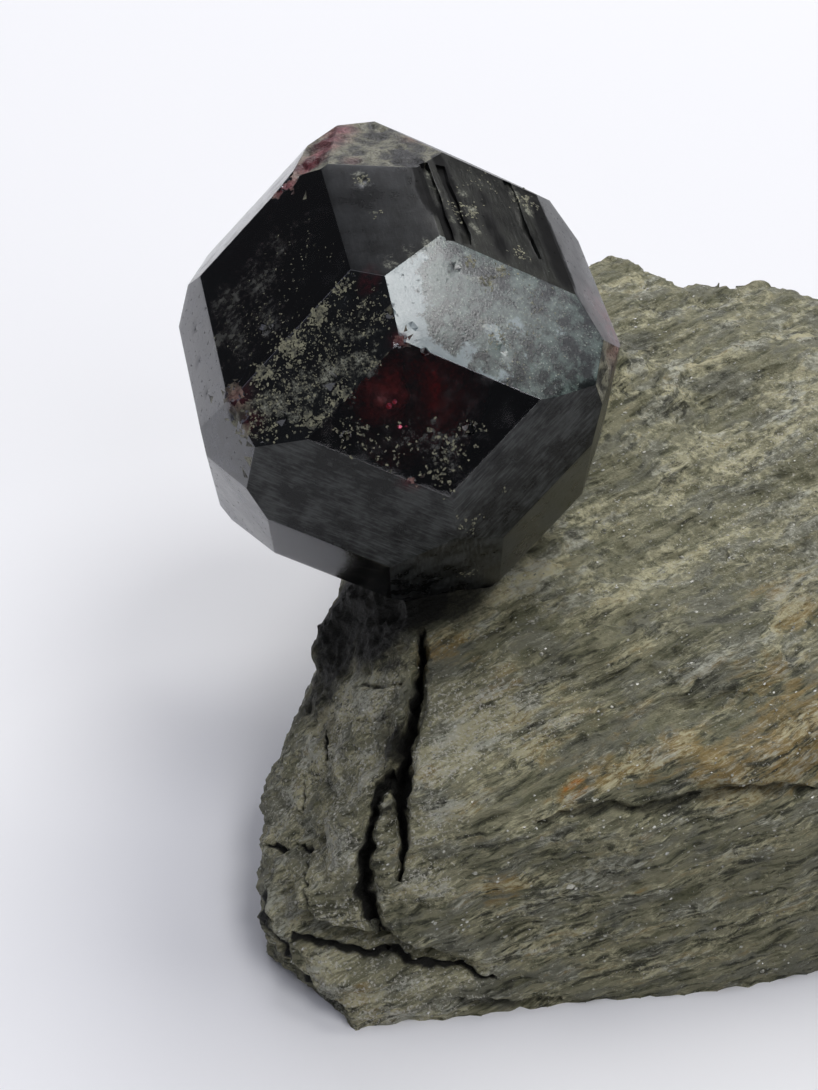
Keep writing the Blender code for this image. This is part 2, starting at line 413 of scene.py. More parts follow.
@dataclass(frozen=True)
class CrystalFrame:
    """Where the crystal sits and how its axes are turned."""

    centre: Vector = field(default_factory=lambda: Vector((-20.04, -1.27, 22.0)) * MM)
    turn: Euler = field(default_factory=lambda: Euler([math.radians(a) for a in (20.06, -8.07, -127.17)]))

    def direction(self, indices: Place) -> Vector:
        """Return the direction of crystal axes' indices in the part's frame."""
        return (self.turn.to_matrix() @ Vector(indices)).normalized()

    def spot(self, place_mm: Place) -> Vector:
        """Return the point of the part's frame for a place in crystal axes."""
        return self.centre + self.turn.to_matrix() @ (Vector(place_mm) * MM)


@dataclass(frozen=True)
class ClearGarnet:
    """Almandine garnet, cut flat by growth: dark red glass that goes black in depth.

    The bright dodecahedron faces mirror the room, and thin edges and healed
    cracks near the skin let a deep red through.
    """

    ior: float = 1.79
    depth_colour: str = "#E63E50"
    depth_density: float = 1500.0
    pale: str = "#FFF2F2"
    blush: str = "#E8D2D2"
    dust: str = "#34342C"

    def material(self) -> bpy.types.Material:
        """Return the clear faces' material; it reads bloom, where dust lies."""
        mix = Recipe("almandine_garnet")
        place = mix.node("TexCoord").outputs["Object"]
        smear, fleck = (
            mix.node("TexNoise", Vector=place, Scale=1.0 / size, Detail=detail, Roughness=rough).outputs[0]
            for size, detail, rough in ((1.1 * MM, 6.0, 0.65), (0.25 * MM, 4.0, 0.7))
        )
        bloom = mix.node("Attribute", attribute_name="bloom").outputs["Fac"]
        film = mix.weigh(bloom, (smear, 2.2, 0.5), (fleck, 2.2, 0.5))
        film = mix.share(1.0, (film, 0.35, 1.05), (bloom, 0.0, 0.2))
        tint = mix.share(1.0, (fleck, 0.40, 0.62))
        colour = mix.coat(self.pale, (tint, self.blush), (mix.weigh(0.0, (film, 10.0)), self.dust))
        wear = mix.weigh(0.05, (mix.share(0.20, (smear, 0.40, 0.72)), 1.0), (film, 0.45))
        height = mix.weigh(0.0, (smear, 0.6), (fleck, 0.4))
        made = mix.finish(colour, wear, self.ior, (height, 0.25, 0.06))
        mix.tree.links.new(mix.weigh(1.0, (film, -1.0)), mix.shader.inputs["Transmission Weight"])
        inside = mix.node("VolumeAbsorption", Color=linear(self.depth_colour), Density=self.depth_density)
        mix.tree.links.new(inside.outputs["Volume"], mix.out.inputs["Volume"])
        return made


@dataclass(frozen=True)
class WeatheredGarnet:
    """Garnet under a thin film of iron and chlorite: slate to charcoal with a dull gloss.

    Growth lines run along the striated faces, the frosted face glitters with
    small etch marks, bloom and blush are pale and red stains, and hollow is
    painted shade in recesses and grooves.
    """

    name: str
    dark: str
    light: str
    roughness: float
    lines: float = 0.0
    specks: float = 0.0
    pits: float = 0.0
    etch: float = 0.1
    frost: float = 0.0
    ior: float = 1.79
    line: str = "#525454"
    speck: str = "#AEBAAA"
    rime: str = "#8D9A9C"
    pit: str = "#0B0B0C"
    bloom: str = "#9A9B8C"
    blush: str = "#5C1420"
    # colour of the painted shade in the hollows
    hollow: str = "#040404"

    def material(self) -> bpy.types.Material:
        """Return the material; it reads bloom, frost, blush, hollow (painted shade) and the growth UV."""
        mix = Recipe(self.name)
        place = mix.node("TexCoord").outputs["Object"]
        flat = mix.node("UVMap", uv_map="growth").outputs["UV"]
        # growth lines lie about 0.12 mm apart and run for a few mm
        drawn = mix.node("VectorMath", operation="MULTIPLY", i0=flat, i1=(0.9, 7.0, 1.0)).outputs[0]
        streak, blotch, patch, fine, sore = (
            mix.node("TexNoise", Vector=where, Scale=1.0 / size, Detail=detail, Roughness=rough).outputs[0]
            for where, size, detail, rough in (
                (drawn, 1.0, 5.0, 0.7),
                (place, 1.6 * MM, 6.0, 0.65),
                (place, 0.55 * MM, 5.0, 0.7),
                (place, 0.11 * MM, 3.0, 0.7),
                (place, 0.24 * MM, 2.0, 0.5),
            )
        )
        stains = ("bloom", "frost", "blush", "hollow")
        bloom, frost, blush, hollow = (
            mix.node("Attribute", attribute_name=name).outputs["Fac"] for name in stains
        )
        cloudy = mix.weigh(blotch, (patch, 0.8 * (1.0 - self.lines), 0.5), (streak, 0.7 * self.lines, 0.5))
        rare = 0.74 - 0.16 * self.specks
        many = 0.55 * min(1.0, 2.0 * self.specks)
        rime = mix.weigh(frost, (patch, 1.4, 0.5))
        pit = mix.share(1.0, (sore, 0.34, 0.28))
        cloud = mix.weigh(bloom, (patch, 2.4, 0.5))
        cloud = mix.share(1.0, (cloud, 0.35, 1.10), (fine, 0.36, 0.60), (bloom, 0.0, 0.2))
        # sunk: the painted shade of the hollows, also darkening the strongest growth lines
        sunk = mix.share(1.0, (mix.weigh(hollow, (streak, 0.8, 0.5)), 0.15, 0.65))
        colour = mix.coat(
            self.dark,
            (mix.share(1.0, (cloudy, 0.36, 0.68)), self.light),
            (mix.share(0.60 * self.lines, (streak, 0.46, 0.74), (blotch, 0.30, 0.62)), self.line),
            (mix.share(many, (fine, rare, rare + 0.10), (blotch, 0.36, 0.56)), self.speck),
            (mix.share(self.frost, (rime, 0.30, 0.52), (frost, 0.0, 0.15)), self.rime),
            (mix.weigh(0.0, (pit, self.pits)), self.pit),
            (cloud, self.bloom),
            (mix.share(blush, (patch, 0.34, 0.60)), self.blush),
            (sunk, self.hollow),
        )
        rough = mix.node("Math", operation="MAXIMUM", i0=cloud, i1=pit).outputs[0]
        dull = mix.weigh(self.roughness, (blotch, 0.30, 0.5), (sunk, 0.45), (rough, 0.25))
        dull = mix.node("Math", operation="MAXIMUM", i0=dull, i1=0.06).outputs[0]
        height = mix.weigh(0.0, (streak, 1.1 * self.lines), (fine, self.etch), (pit, -0.6 * self.pits))
        return mix.finish(colour, dull, self.ior, (height, 0.5, 0.03))


@dataclass(frozen=True)
class BrokenGarnet:
    """Bruised garnet where a point broke off: a whitish, sugary break that lets pink and red through."""

    dark: str = "#22221A"
    light: str = "#747260"
    red: str = "#5A1822"
    pink: str = "#94535A"
    grit: str = "#221D1A"
    # colour of the painted shade in the broken point's recess
    hollow: str = "#100F0E"
    ior: float = 1.42

    def material(self) -> bpy.types.Material:
        """Return the material; it reads blush and hollow, the painted shade of the broken point's recess.
        """
        mix = Recipe("broken_garnet")
        place = mix.node("TexCoord").outputs["Object"]
        mottle, grit = (
            mix.node("TexNoise", Vector=place, Scale=1.0 / size, Detail=detail, Roughness=rough).outputs[0]
            for size, detail, rough in ((0.9 * MM, 6.0, 0.6), (0.12 * MM, 3.0, 0.6))
        )
        stains = ("blush", "hollow")
        blush, hollow = (mix.node("Attribute", attribute_name=name).outputs["Fac"] for name in stains)
        warm = mix.coat(self.red, (mix.share(1.0, (mottle, 0.44, 0.66)), self.pink))
        colour = mix.coat(
            self.dark,
            (mix.share(1.0, (mottle, 0.40, 0.60)), self.light),
            (blush, warm),
            (mix.share(0.8, (grit, 0.46, 0.34)), self.grit),
            (mix.share(1.0, (mix.weigh(hollow, (mottle, 1.6, 0.5)), 0.35, 0.75)), self.hollow),
        )
        shine = mix.node("MapRange", Value=grit, From_Min=0.3, From_Max=0.7, To_Min=0.60, To_Max=0.30)
        height = mix.weigh(mottle, (grit, 0.5))
        return mix.finish(colour, shine.outputs[0], self.ior, (height, 1.0, 0.15))


@dataclass(frozen=True)
class PlainMineral:
    """A crumb, flake or grain of one mineral, mottled by two colours."""

    name: str
    dark: str
    light: str
    roughness: float
    ior: float
    mottle_mm: float
    spread: float = 0.08

    def material(self) -> bpy.types.Material:
        """Return the mineral's material."""
        mix = Recipe(self.name)
        place = mix.node("TexCoord").outputs["Object"]
        size = self.mottle_mm * MM
        value = mix.node("TexNoise", Vector=place, Scale=1.0 / size, Detail=4.0, Roughness=0.65).outputs[0]
        colour = mix.coat(self.dark, (mix.share(1.0, (value, 0.36, 0.64)), self.light))
        span = {"To_Min": self.roughness - self.spread, "To_Max": self.roughness + self.spread}
        dull = mix.node("MapRange", Value=value, From_Min=0.3, From_Max=0.7, **span)
        return mix.finish(colour, dull.outputs[0], self.ior)


@dataclass(frozen=True)
class MicaSchist:
    """Chlorite and mica schist, split along its layers: satin streaks in green, grey and brown.

    The streaks run along the grain, a few mm long and a few tenths thick, and
    lie in layers; small dark pits break them up, and rust stains the skin.
    """

    grain_turn: Euler
    streak_mm: Place = (3.6, 0.55, 0.36)
    fine_mm: Place = (0.90, 0.19, 0.16)
    bed_mm: Place = (2.6, 2.2, 0.24)
    broad_mm: Place = (9.0, 2.4, 1.2)
    cool_mm: Place = (2.8, 1.5, 0.8)
    wave_mm: float = 5.0
    sway_mm: float = 1.2
    green: str = "#64644B"
    grey: str = "#8C896E"
    dark: str = "#28281D"
    ochre: str = "#907945"
    rust: str = "#B0742F"
    pale: str = "#CCC6A2"
    slate: str = "#717163"
    silver: str = "#C8C8B6"
    glint: str = "#D6D3C6"
    # colour of the painted shade in the cracks and under the crystal
    gap: str = "#13120A"
    ior: float = 1.46

    def material(self) -> bpy.types.Material:
        """Return the schist's material; it reads gap (painted shade), pale (partly painted light), stain
        and edge_on.
        """
        mix = Recipe("mica_schist")
        place = mix.node("TexCoord").outputs["Object"]
        wave = mix.node("TexNoise", Vector=place, Scale=1.0 / (self.wave_mm * MM), Detail=3.0).outputs[1]
        bent = mix.node("VectorMath", operation="SUBTRACT", i0=wave, i1=(0.5,) * 3).outputs[0]
        sway = (self.sway_mm * MM,) * 3
        bent = mix.node("VectorMath", operation="MULTIPLY_ADD", i0=bent, i1=sway, i2=place).outputs[0]
        turn, streaks = tuple(self.grain_turn), []
        for sides, detail, rough in (
            (self.streak_mm, 7.0, 0.66),
            (self.fine_mm, 5.0, 0.72),
            (self.bed_mm, 4.0, 0.6),
            (self.broad_mm, 5.0, 0.62),
            (self.cool_mm, 5.0, 0.62),
        ):
            span = tuple(side * MM for side in sides)
            drawn = mix.node("Mapping", vector_type="TEXTURE", Vector=bent, Rotation=turn, Scale=span)
            drawn = drawn.outputs[0]
            streak = mix.node("TexNoise", Vector=drawn, Scale=1.0, Detail=detail, Roughness=rough)
            streaks.append(streak.outputs[0])
        band, fine, bed, broad, cool = streaks
        grains, patch, clump, pit, grit = (
            mix.node("TexNoise", Vector=where, Scale=1.0 / size, Detail=detail, Roughness=rough).outputs[0]
            for where, size, detail, rough in (
                (bent, 0.42 * MM, 5.0, 0.7),
                (place, 6.0 * MM, 5.0, 0.6),
                (place, 1.6 * MM, 5.0, 0.65),
                (place, 0.30 * MM, 5.0, 0.75),
                (place, 0.16 * MM, 3.0, 0.7),
            )
        )
        stains = ("pale", "gap", "stain", "edge_on")
        pale, gap, stain, edge_on = (
            mix.node("Attribute", attribute_name=name).outputs["Fac"] for name in stains
        )
        # on the back of the top the streaks give way to grains
        back = mix.share(0.75, (mix.node("SeparateXYZ", Vector=place).outputs[1], -15 * MM, -3 * MM))
        fine = mix.node("Mix", data_type="FLOAT", i0=back, i2=fine, i3=grains).outputs[0]
        beds = mix.weigh(0.0, (bed, edge_on, 0.5))
        band = mix.weigh(beds, (band, 1.0))
        cool = mix.share(1.0, (cool, 0.47, 0.60))
        warm = mix.weigh(0.0, (stain, 0.46), (broad, 1.1), (band, 0.9, 0.5), (clump, 0.7, 0.5))
        rusty = mix.weigh(stain, (patch, 1.0))
        bright = mix.weigh(fine, (broad, 0.9, 0.5), (pale, 0.11))
        seam = mix.weigh(band, (clump, 0.7, 0.5))
        hollow = mix.weigh(0.0, (pit, 0.5), (clump, 0.5), (fine, 1.4), (beds, 1.4), (pale, 0.06))
        glint = mix.weigh(grit, (broad, 0.12), (pale, 0.12))
        # the painted shade of the gap layer, broken up by the pits
        shade = mix.weigh(gap, (pit, 0.5, 0.5))
        colour = mix.coat(
            self.green,
            (mix.share(1.0, (band, 0.38, 0.62)), self.grey),
            # pale lightens the rock: partly paler rock, partly painted light
            (mix.weigh(0.0, (pale, 0.35)), self.grey),
            (mix.weigh(0.0, (cool, 0.70)), self.slate),
            (mix.share(0.85, (warm, 0.66, 1.00)), self.ochre),
            (mix.share(1.0, (rusty, 1.30, 1.65), (band, 0.40, 0.55)), self.rust),
            (mix.share(0.78, (bright, 0.48, 0.72)), mix.coat(self.pale, (cool, self.silver))),
            (mix.share(0.62, (seam, 0.45, 0.30)), self.dark),
            (mix.share(0.72, (hollow, 1.12, 0.86)), self.dark),
            (mix.share(0.80, (glint, 0.70, 0.78)), self.glint),
            (mix.share(1.0, (shade, 0.05, 0.75), (gap, 0.0, 0.1)), self.gap),
        )
        shine = mix.node("MapRange", Value=fine, From_Min=0.35, From_Max=0.70, To_Min=0.82, To_Max=0.40)
        height = mix.weigh(band, (fine, 0.7), (pit, 0.7))
        return mix.finish(colour, shine.outputs[0], self.ior, (height, 1.0, 0.26))


@dataclass
class Garnet:
    """The crystal: domed faces, softened edges and broken points."""

    axes: CrystalFrame
    flat_angle: float = math.radians(0.5)
    same_way: float = 0.9995
    smallest_face: float = 0.4 * MM**2
    softened_edge: float = 1.2 * MM
    softened_angle: float = math.radians(8.0)
    edge_width: float = 0.06 * MM
    division: float = 0.50 * MM
    fine_division: float = 0.14 * MM
    division_rounds: int = 8
    shell: Waves = ((1.1, 1.0), (0.40, 0.6))
    ragged: Waves = ((0.3, 0.9), (0.12, 0.5))
    step_sway: Waves = ((1.5, 0.17), (0.5, 0.07))
    step_fill: Waves = ((1.2, 0.3),)
    domes: dict[Surface, float] = field(
        default_factory=lambda: {
            Surface.FROSTED: 0.17 * MM, Surface.SATIN: 0.09 * MM, Surface.CLEAR: 0.03 * MM
        }
    )
    plain_dome: float = 0.07 * MM
    dome_reach: float = 4.2 * MM
    dome_depth: float = 0.6 * MM
    shell_middle: float = 0.35
    chip_relief: float = 0.20 * MM
    chip_rim: float = 0.35 * MM
    pit_depths: tuple[float, float] = (0.02 * MM, 0.5 * MM)
    pit_fill: float = 0.75
    step_rim: float = 0.3 * MM
    step_level: float = 0.50
    wear_depth: float = 0.11 * MM
    wear_reach: float = 1.3
    wear_broken: float = 0.85
    surfaces: dict[Miller, Surface] = field(
        default_factory=lambda: {
            (1, 2, 1): Surface.FROSTED,
            (2, 1, 1): Surface.POLISHED,
            (1, 2, -1): Surface.LINED,
            (2, 1, -1): Surface.LINED,
            (1, -1, 2): Surface.CLEAR,
            (2, -1, 1): Surface.PITTED,
            (2, -1, -1): Surface.PITTED,
            (1, 1, -2): Surface.LINED,
            (0, 1, -1): Surface.LINED,
            (0, 1, 1): Surface.GROOVED,
        }
    )
    chips: tuple[Place, ...] = ((0.07, 0.27, 0.96), (0.29, -0.08, 0.95), (-0.21, 0.97, -0.10))
    wear: tuple[tuple[Place, float], ...] = (
        ((2.4, -0.6, 10.5), 0.45), ((3.1, -0.6, 10.3), 0.50), ((3.8, -0.7, 10.0), 0.50),
        ((4.4, -0.9, 9.8), 0.45), ((4.9, -1.3, 9.35), 0.24), ((8.6, 7.4, 2.85), 0.22),
        ((8.3, 6.9, 4.1), 0.16), ((12.4, 0.4, 1.6), 0.40), ((12.6, 0.7, 0.8), 0.50),
        ((12.5, 1.0, 0.0), 0.45), ((12.2, 1.3, -0.8), 0.30), ((11.0, 5.2, -0.9), 0.18),
        ((9.3, 7.0, -3.6), 0.22),
    )
    blooms: Spots = (
        ((6.7, 6.8, 5.9), 0.30, 0.60), ((6.0, 7.0, 6.2), 0.30, 0.80), ((5.4, 7.3, 6.3), 0.32, 0.85),
        ((4.8, 7.5, 6.4), 0.30, 0.85), ((3.9, 7.6, 6.3), 0.28, 0.75), ((3.3, 8.2, 5.9), 0.28, 0.75),
        ((2.6, 8.8, 5.4), 0.26, 0.65), ((4.7, 9.7, 2.3), 0.7, 0.80), ((4.5, 10.1, 1.5), 0.5, 0.60),
        ((5.2, 9.2, 2.6), 0.5, 0.60), ((3.4, 9.4, 4.0), 1.2, 0.45), ((4.3, 8.5, 5.1), 0.7, 0.60),
        ((2.2, 10.8, 2.6), 1.2, 0.35), ((12.4, 1.9, 1.2), 0.9, 0.70), ((12.0, 2.6, 1.0), 1.0, 0.75),
        ((11.3, 3.4, 1.3), 1.1, 0.66), ((10.6, 4.4, 1.9), 1.1, 0.68), ((10.0, 5.3, 2.1), 1.0, 0.66),
        ((9.6, 5.9, 2.3), 0.8, 0.72), ((9.6, 6.2, 1.8), 0.7, 0.75), ((10.6, 5.4, 0.8), 0.7, 0.60),
        ((11.3, 4.4, 0.4), 0.8, 0.58), ((11.8, 3.5, 0.4), 0.8, 0.55), ((12.5, 2.3, 0.0), 0.7, 0.55),
        ((9.6, 5.0, 3.4), 0.9, 0.50), ((9.2, 5.8, 3.4), 0.9, 0.50), ((8.5, 5.9, 4.6), 0.5, 0.55),
        ((8.9, -0.3, 5.6), 1.4, 0.35), ((3.5, 2.6, 9.6), 0.34, 1.10), ((3.9, 3.2, 9.1), 0.32, 1.10),
        ((5.1, 4.4, 7.9), 0.26, 0.90), ((6.9, 6.4, 6.0), 0.7, 0.60), ((6.0, 6.7, 6.4), 0.5, 0.60),
        ((5.2, 7.1, 6.6), 0.5, 0.55), ((3.6, 8.9, 4.8), 0.30, 1.00), ((3.0, 9.4, 4.5), 0.28, 1.00),
        ((4.1, 9.0, 4.1), 0.34, 0.95), ((4.2, 8.3, 5.3), 0.30, 0.90), ((10.4, -1.4, 3.9), 1.3, 0.62),
        ((10.6, -0.4, 3.6), 1.2, 0.60), ((9.0, -1.8, 5.2), 1.4, 0.55), ((10.0, 0.6, 4.2), 1.2, 0.50),
        ((8.4, -0.4, 5.8), 1.6, 0.45), ((6.8, 0.4, 7.4), 1.4, 0.38), ((8.6, 7.4, -1.6), 1.2, 0.32),
        ((7.9, 8.1, -2.6), 1.2, 0.38), ((7.0, 8.9, -1.6), 0.6, 0.50), ((0.8, 3.9, 9.8), 0.5, 0.50),
        ((1.4, 4.7, 9.4), 0.5, 0.62), ((1.4, 5.1, 8.7), 0.5, 0.66), ((2.0, 5.8, 8.3), 0.5, 0.62),
        ((2.5, 6.6, 7.6), 0.45, 0.60), ((3.0, 7.2, 6.9), 0.40, 0.60), ((0.9, 6.4, 7.8), 0.45, 0.80),
        ((1.3, 7.0, 7.2), 0.50, 0.75), ((2.3, 7.4, 6.7), 0.50, 0.80), ((2.4, 7.9, 6.2), 0.40, 0.80),
        ((-2.4, 7.0, 7.1), 0.45, 0.80), ((-2.1, 7.5, 6.6), 0.50, 0.85), ((-1.8, 8.1, 6.1), 0.45, 0.80),
        ((1.3, 9.3, 4.8), 0.35, 0.70), ((0.7, 9.8, 4.4), 0.35, 0.60),
    )
    frosts: Spots = (
        ((7.2, 6.9, 5.3), 1.2, 0.95), ((7.6, 7.2, 4.3), 1.2, 1.00), ((8.0, 7.5, 3.2), 1.1, 1.00),
        ((8.1, 7.9, 2.4), 0.9, 1.00), ((7.6, 8.4, 1.7), 0.8, 0.95), ((7.0, 9.0, 1.0), 0.8, 0.85),
        ((6.5, 9.6, 0.5), 0.6, 0.70), ((5.8, 10.2, 0.0), 0.5, 0.55), ((5.9, 7.4, 5.8), 0.7, 0.50),
        ((4.8, 9.7, 2.1), 0.65, 0.75), ((3.7, 10.3, 2.0), 0.55, 0.60), ((6.2, 9.2, 1.6), 0.6, 0.70),
        ((4.2, 10.7, 0.6), 0.5, 0.50), ((5.3, 10.3, 0.3), 0.6, 0.60), ((2.2, 11.4, 1.2), 0.5, 0.45),
    )
    # painted shade in the dark recess at the broken point and along the grooved face's steps
    painted_hollow_shades: Spots = (
        ((0.7, 3.3, 9.9), 0.70, 1.50), ((1.1, 4.0, 9.7), 0.60, 1.50), ((0.1, 3.0, 10.1), 0.50, 0.90),
        ((1.7, 3.6, 9.7), 0.40, 0.90), ((2.0, 5.1, 9.1), 0.45, 0.90), ((2.6, 5.6, 8.6), 0.50, 1.00),
        ((3.1, 6.3, 7.9), 0.50, 1.00), ((3.2, 6.7, 7.1), 0.50, 1.00), ((3.7, 7.3, 6.5), 0.45, 1.00),
        ((0.1, 4.8, 9.4), 0.40, 1.00), ((0.4, 5.1, 8.7), 0.45, 1.00), ((1.0, 5.8, 8.1), 0.45, 1.00),
        ((1.7, 6.5, 7.4), 0.45, 1.00), ((2.3, 7.2, 6.8), 0.40, 0.90), ((-2.6, 8.0, 6.1), 0.50, 0.80),
        ((-2.0, 8.6, 5.5), 0.60, 0.95), ((-1.2, 9.5, 4.7), 0.70, 1.00), ((-0.2, 10.5, 3.7), 0.70, 1.00),
        ((0.0, 6.9, 7.3), 0.50, 0.60), ((1.2, 7.9, 6.3), 0.60, 0.65), ((1.8, 8.7, 5.4), 0.60, 0.70),
    )
    blushes: Spots = (
        ((8.1, 5.9, 5.45), 0.42, 0.8), ((8.6, 7.4, 2.85), 0.4, 0.9), ((12.4, 0.6, 1.5), 0.7, 0.50),
        ((12.6, 1.4, 0.3), 0.6, 0.45), ((12.2, 1.3, -0.8), 0.6, 0.45), ((-0.6, -1.5, 11.3), 0.9, 1.0),
        ((0.6, -1.2, 11.0), 1.0, 1.0), ((1.7, -0.9, 10.7), 1.0, 1.0), ((3.0, -0.7, 10.3), 1.0, 1.0),
        ((4.6, -1.1, 9.6), 0.9, 1.0), ((2.6, 1.6, 10.0), 0.5, 0.5), ((-1.6, 2.4, 10.6), 0.8, 0.4),
        ((-2.2, 11.2, 0.0), 2.4, 0.7), ((9.3, 7.0, -3.6), 0.5, 0.8),
    )

    def flat_solid(self) -> bmesh.types.BMesh:
        """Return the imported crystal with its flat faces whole."""
        bm = merged_copy("garnet_crystal")
        bmesh.ops.dissolve_limit(bm, angle_limit=self.flat_angle, verts=bm.verts[:], edges=bm.edges[:])
        return bm

    def planes(self) -> list[Plane]:
        """Read the crystal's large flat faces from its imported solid."""
        bm = self.flat_solid()
        found: list[Plane] = []
        for face in sorted(bm.faces, key=lambda item: -item.calc_area()):
            known = any(plane.normal.dot(face.normal) > self.same_way for plane in found)
            surface, lines = self.nature(face.normal)
            plane = Plane(face.normal.copy(), face.normal.dot(face.verts[0].co), surface, lines)
            outermost = min(plane.depth(vert.co) for vert in bm.verts) > -0.05 * MM
            if face.calc_area() > self.smallest_face and outermost and not known:
                found.append(plane)
        bm.free()
        return found

    def nature(self, normal: Vector) -> tuple[Surface, Vector]:
        """Return the surface and the direction of growth lines of the face that looks this way.

        Args:
            normal: The face's direction.

        Returns:
            The surface, and the way that its lines run.
        """

        def nearness(indices: Place) -> float:
            """Return how nearly the face with these indices looks this way."""
            return self.axes.direction(indices).dot(normal)

        if max(nearness(place) for place in self.chips) > self.same_way:
            return Surface.BROKEN, normal.orthogonal().normalized()
        forms = ([0, 1, 1], [1, 1, 2])
        every = product(range(-2, 3), repeat=3)
        named = [indices for indices in every if sorted(map(abs, indices)) in forms]
        best = max(named, key=nearness)
        plain = Surface.CLEAR if 0 in best else Surface.SATIN
        partner = max((item for item in named if 0 in item and nearness(item) < 0.999), key=nearness)
        return self.surfaces.get(best, plain), normal.cross(self.axes.direction(partner)).normalized()

    def build(self, planes: list[Plane], materials: Iterable[bpy.types.Material]) -> bpy.types.Object:
        """Build and dress the crystal.

        Args:
            planes: The crystal's flat faces.
            materials: The clear, weathered and broken finishes.

        Returns:
            The crystal piece.
        """
        bm = self.flat_solid()
        sharp = [edge for edge in bm.edges if edge.calc_face_angle(0.0) > self.softened_angle]
        sharp = [edge for edge in sharp if edge.calc_length() > self.softened_edge]
        cut = {"offset": self.edge_width, "offset_type": "OFFSET", "segments": 2, "profile": 0.5}
        bmesh.ops.bevel(bm, geom=sharp, affect="EDGES", clamp_overlap=True, material=-1, **cut)
        bmesh.ops.triangulate(bm, faces=bm.faces[:])
        worn = [(self.axes.spot(place), self.wear_reach * radius * MM) for place, radius in self.wear]
        for _ in range(self.division_rounds):
            long = [edge for edge in bm.edges if edge.calc_length() > self.longest(edge, worn, planes)]
            if not long:
                break
            bmesh.ops.subdivide_edges(bm, edges=long, cuts=1)
            bmesh.ops.triangulate(bm, faces=bm.faces[:])
        flat = [edge for edge in bm.edges if edge.calc_face_angle(1.0) < self.flat_angle]
        bmesh.ops.beautify_fill(bm, faces=bm.faces[:], edges=flat, use_restrict_tag=False)
        owners = [Plane.nearest(planes, face.calc_center_median()) for face in bm.faces]
        slots = [owner.surface.value for owner in owners]
        for index, face in enumerate(bm.faces):
            middle = face.calc_center_median()
            rim = 1.0 + bumps(middle, self.ragged)
            if any((middle - spot).length * rim < self.wear_broken * radius for spot, radius in worn):
                slots[index] = Surface.BROKEN.value
        self.raise_faces(bm, planes, worn)
        self.paint(bm, owners, slots)
        made = piece_from(bm, "garnet", materials, 7.0)
        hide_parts("garnet_crystal")
        return made

    def longest(self, edge: bmesh.types.BMEdge, worn: Worn, planes: list[Plane]) -> float:
        """Return how long an edge may be: short on broken points and worn edges.

        Args:
            edge: The edge.
            worn: The worn spots and their radii.
            planes: The crystal's flat faces.

        Returns:
            The greatest length.
        """
        middle = (edge.verts[0].co + edge.verts[1].co) / 2.0
        reach = edge.calc_length() / 2.0
        if any((middle - spot).length < radius + reach for spot, radius in worn):
            return 1.5 * self.fine_division
        own = Plane.nearest(planes, middle)
        in_groove = own.surface is Surface.GROOVED and own.depth(middle) > 0.03 * MM
        if own.surface is Surface.BROKEN or in_groove:
            return 3.0 * self.fine_division
        return 1.5 * self.division

    def raise_faces(self, bm: bmesh.types.BMesh, planes: list[Plane], worn: Worn) -> None:
        """Dome the faces a little and give the broken points and worn edges their shelly relief.

        Args:
            bm: The divided crystal.
            planes: The crystal's flat faces.
            worn: The worn spots and their radii.
        """
        bm.normal_update()
        moves = []
        for vert in bm.verts:
            depths = [(plane.depth(vert.co), plane) for plane in planes]
            depth, own = min(depths, key=lambda item: item[0])
            total = 0.0
            for gap, plane in depths:
                turn = own.normal.dot(plane.normal)
                if plane is not own and turn > 0.0:
                    total += (max(gap, 1e-6) / math.sqrt(max(1e-4, 1.0 - turn * turn))) ** -3
            # how far in from the face's own edges the point lies
            inward = total ** (-1.0 / 3.0) if total else self.dome_reach
            near = within((inward - 1.5 * self.edge_width) / self.dome_reach)
            shell = bumps(vert.co, self.shell) - self.shell_middle
            if own.surface is Surface.BROKEN:
                lift = shell * self.chip_relief * min(1.0, inward / self.chip_rim)
            else:
                lift = self.domes.get(own.surface, self.plain_dome) * (1.0 - (1.0 - near) ** 2)
            move = own.normal * lift if depth < self.dome_depth else Vector()
            # the solid's pits are made shallow, and its growth steps uneven
            pitted = own.surface in (Surface.FROSTED, Surface.SATIN, Surface.PITTED)
            if pitted and self.pit_depths[0] < depth < self.pit_depths[1] < inward:
                move += own.normal * self.pit_fill * depth
            if own.surface is Surface.GROOVED and inward > self.step_rim:
                across = own.normal.cross(own.lines).normalized()
                ease = min(1.0, inward / (2.0 * self.step_rim) - 0.5)
                move += across * bumps(vert.co, self.step_sway) * ease * MM
                move += own.normal * max(0.0, depth) * (self.step_level + bumps(vert.co, self.step_fill))
            bite = max((1.0 - (vert.co - spot).length / radius for spot, radius in worn), default=0.0)
            if bite > 0.0:
                inside = (self.axes.centre - vert.co).normalized()
                move += inside * min(1.0, 2.5 * bite) * (0.9 - shell) * self.wear_depth
            moves.append(move)
        for vert, move in zip(bm.verts, moves):
            vert.co += move
        bm.normal_update()

    def paint(self, bm: bmesh.types.BMesh, owners: list[Plane], slots: list[int]) -> None:
        """Give each face its finish and line directions, paint the pale and red stains, and paint shade
        into the hollows.

        Args:
            bm: The crystal.
            owners: The flat face that each mesh face belongs to.
            slots: The material slot of each mesh face.
        """
        uv = bm.loops.layers.uv.new("growth")
        for face, plane, slot in zip(bm.faces, owners, slots):
            face.material_index = slot
            across = plane.normal.cross(plane.lines).normalized()
            for loop in face.loops:
                place = (loop.vert.co - self.axes.centre) / MM
                loop[uv].uv = (place.dot(plane.lines), place.dot(across))
        stains = {"bloom": self.blooms, "frost": self.frosts, "blush": self.blushes, "hollow": self.painted_hollow_shades}
        steps = next(plane.lines for plane in owners if plane.surface is Surface.GROOVED)
        for name, spots in stains.items():
            layer = bm.verts.layers.float.new(name)
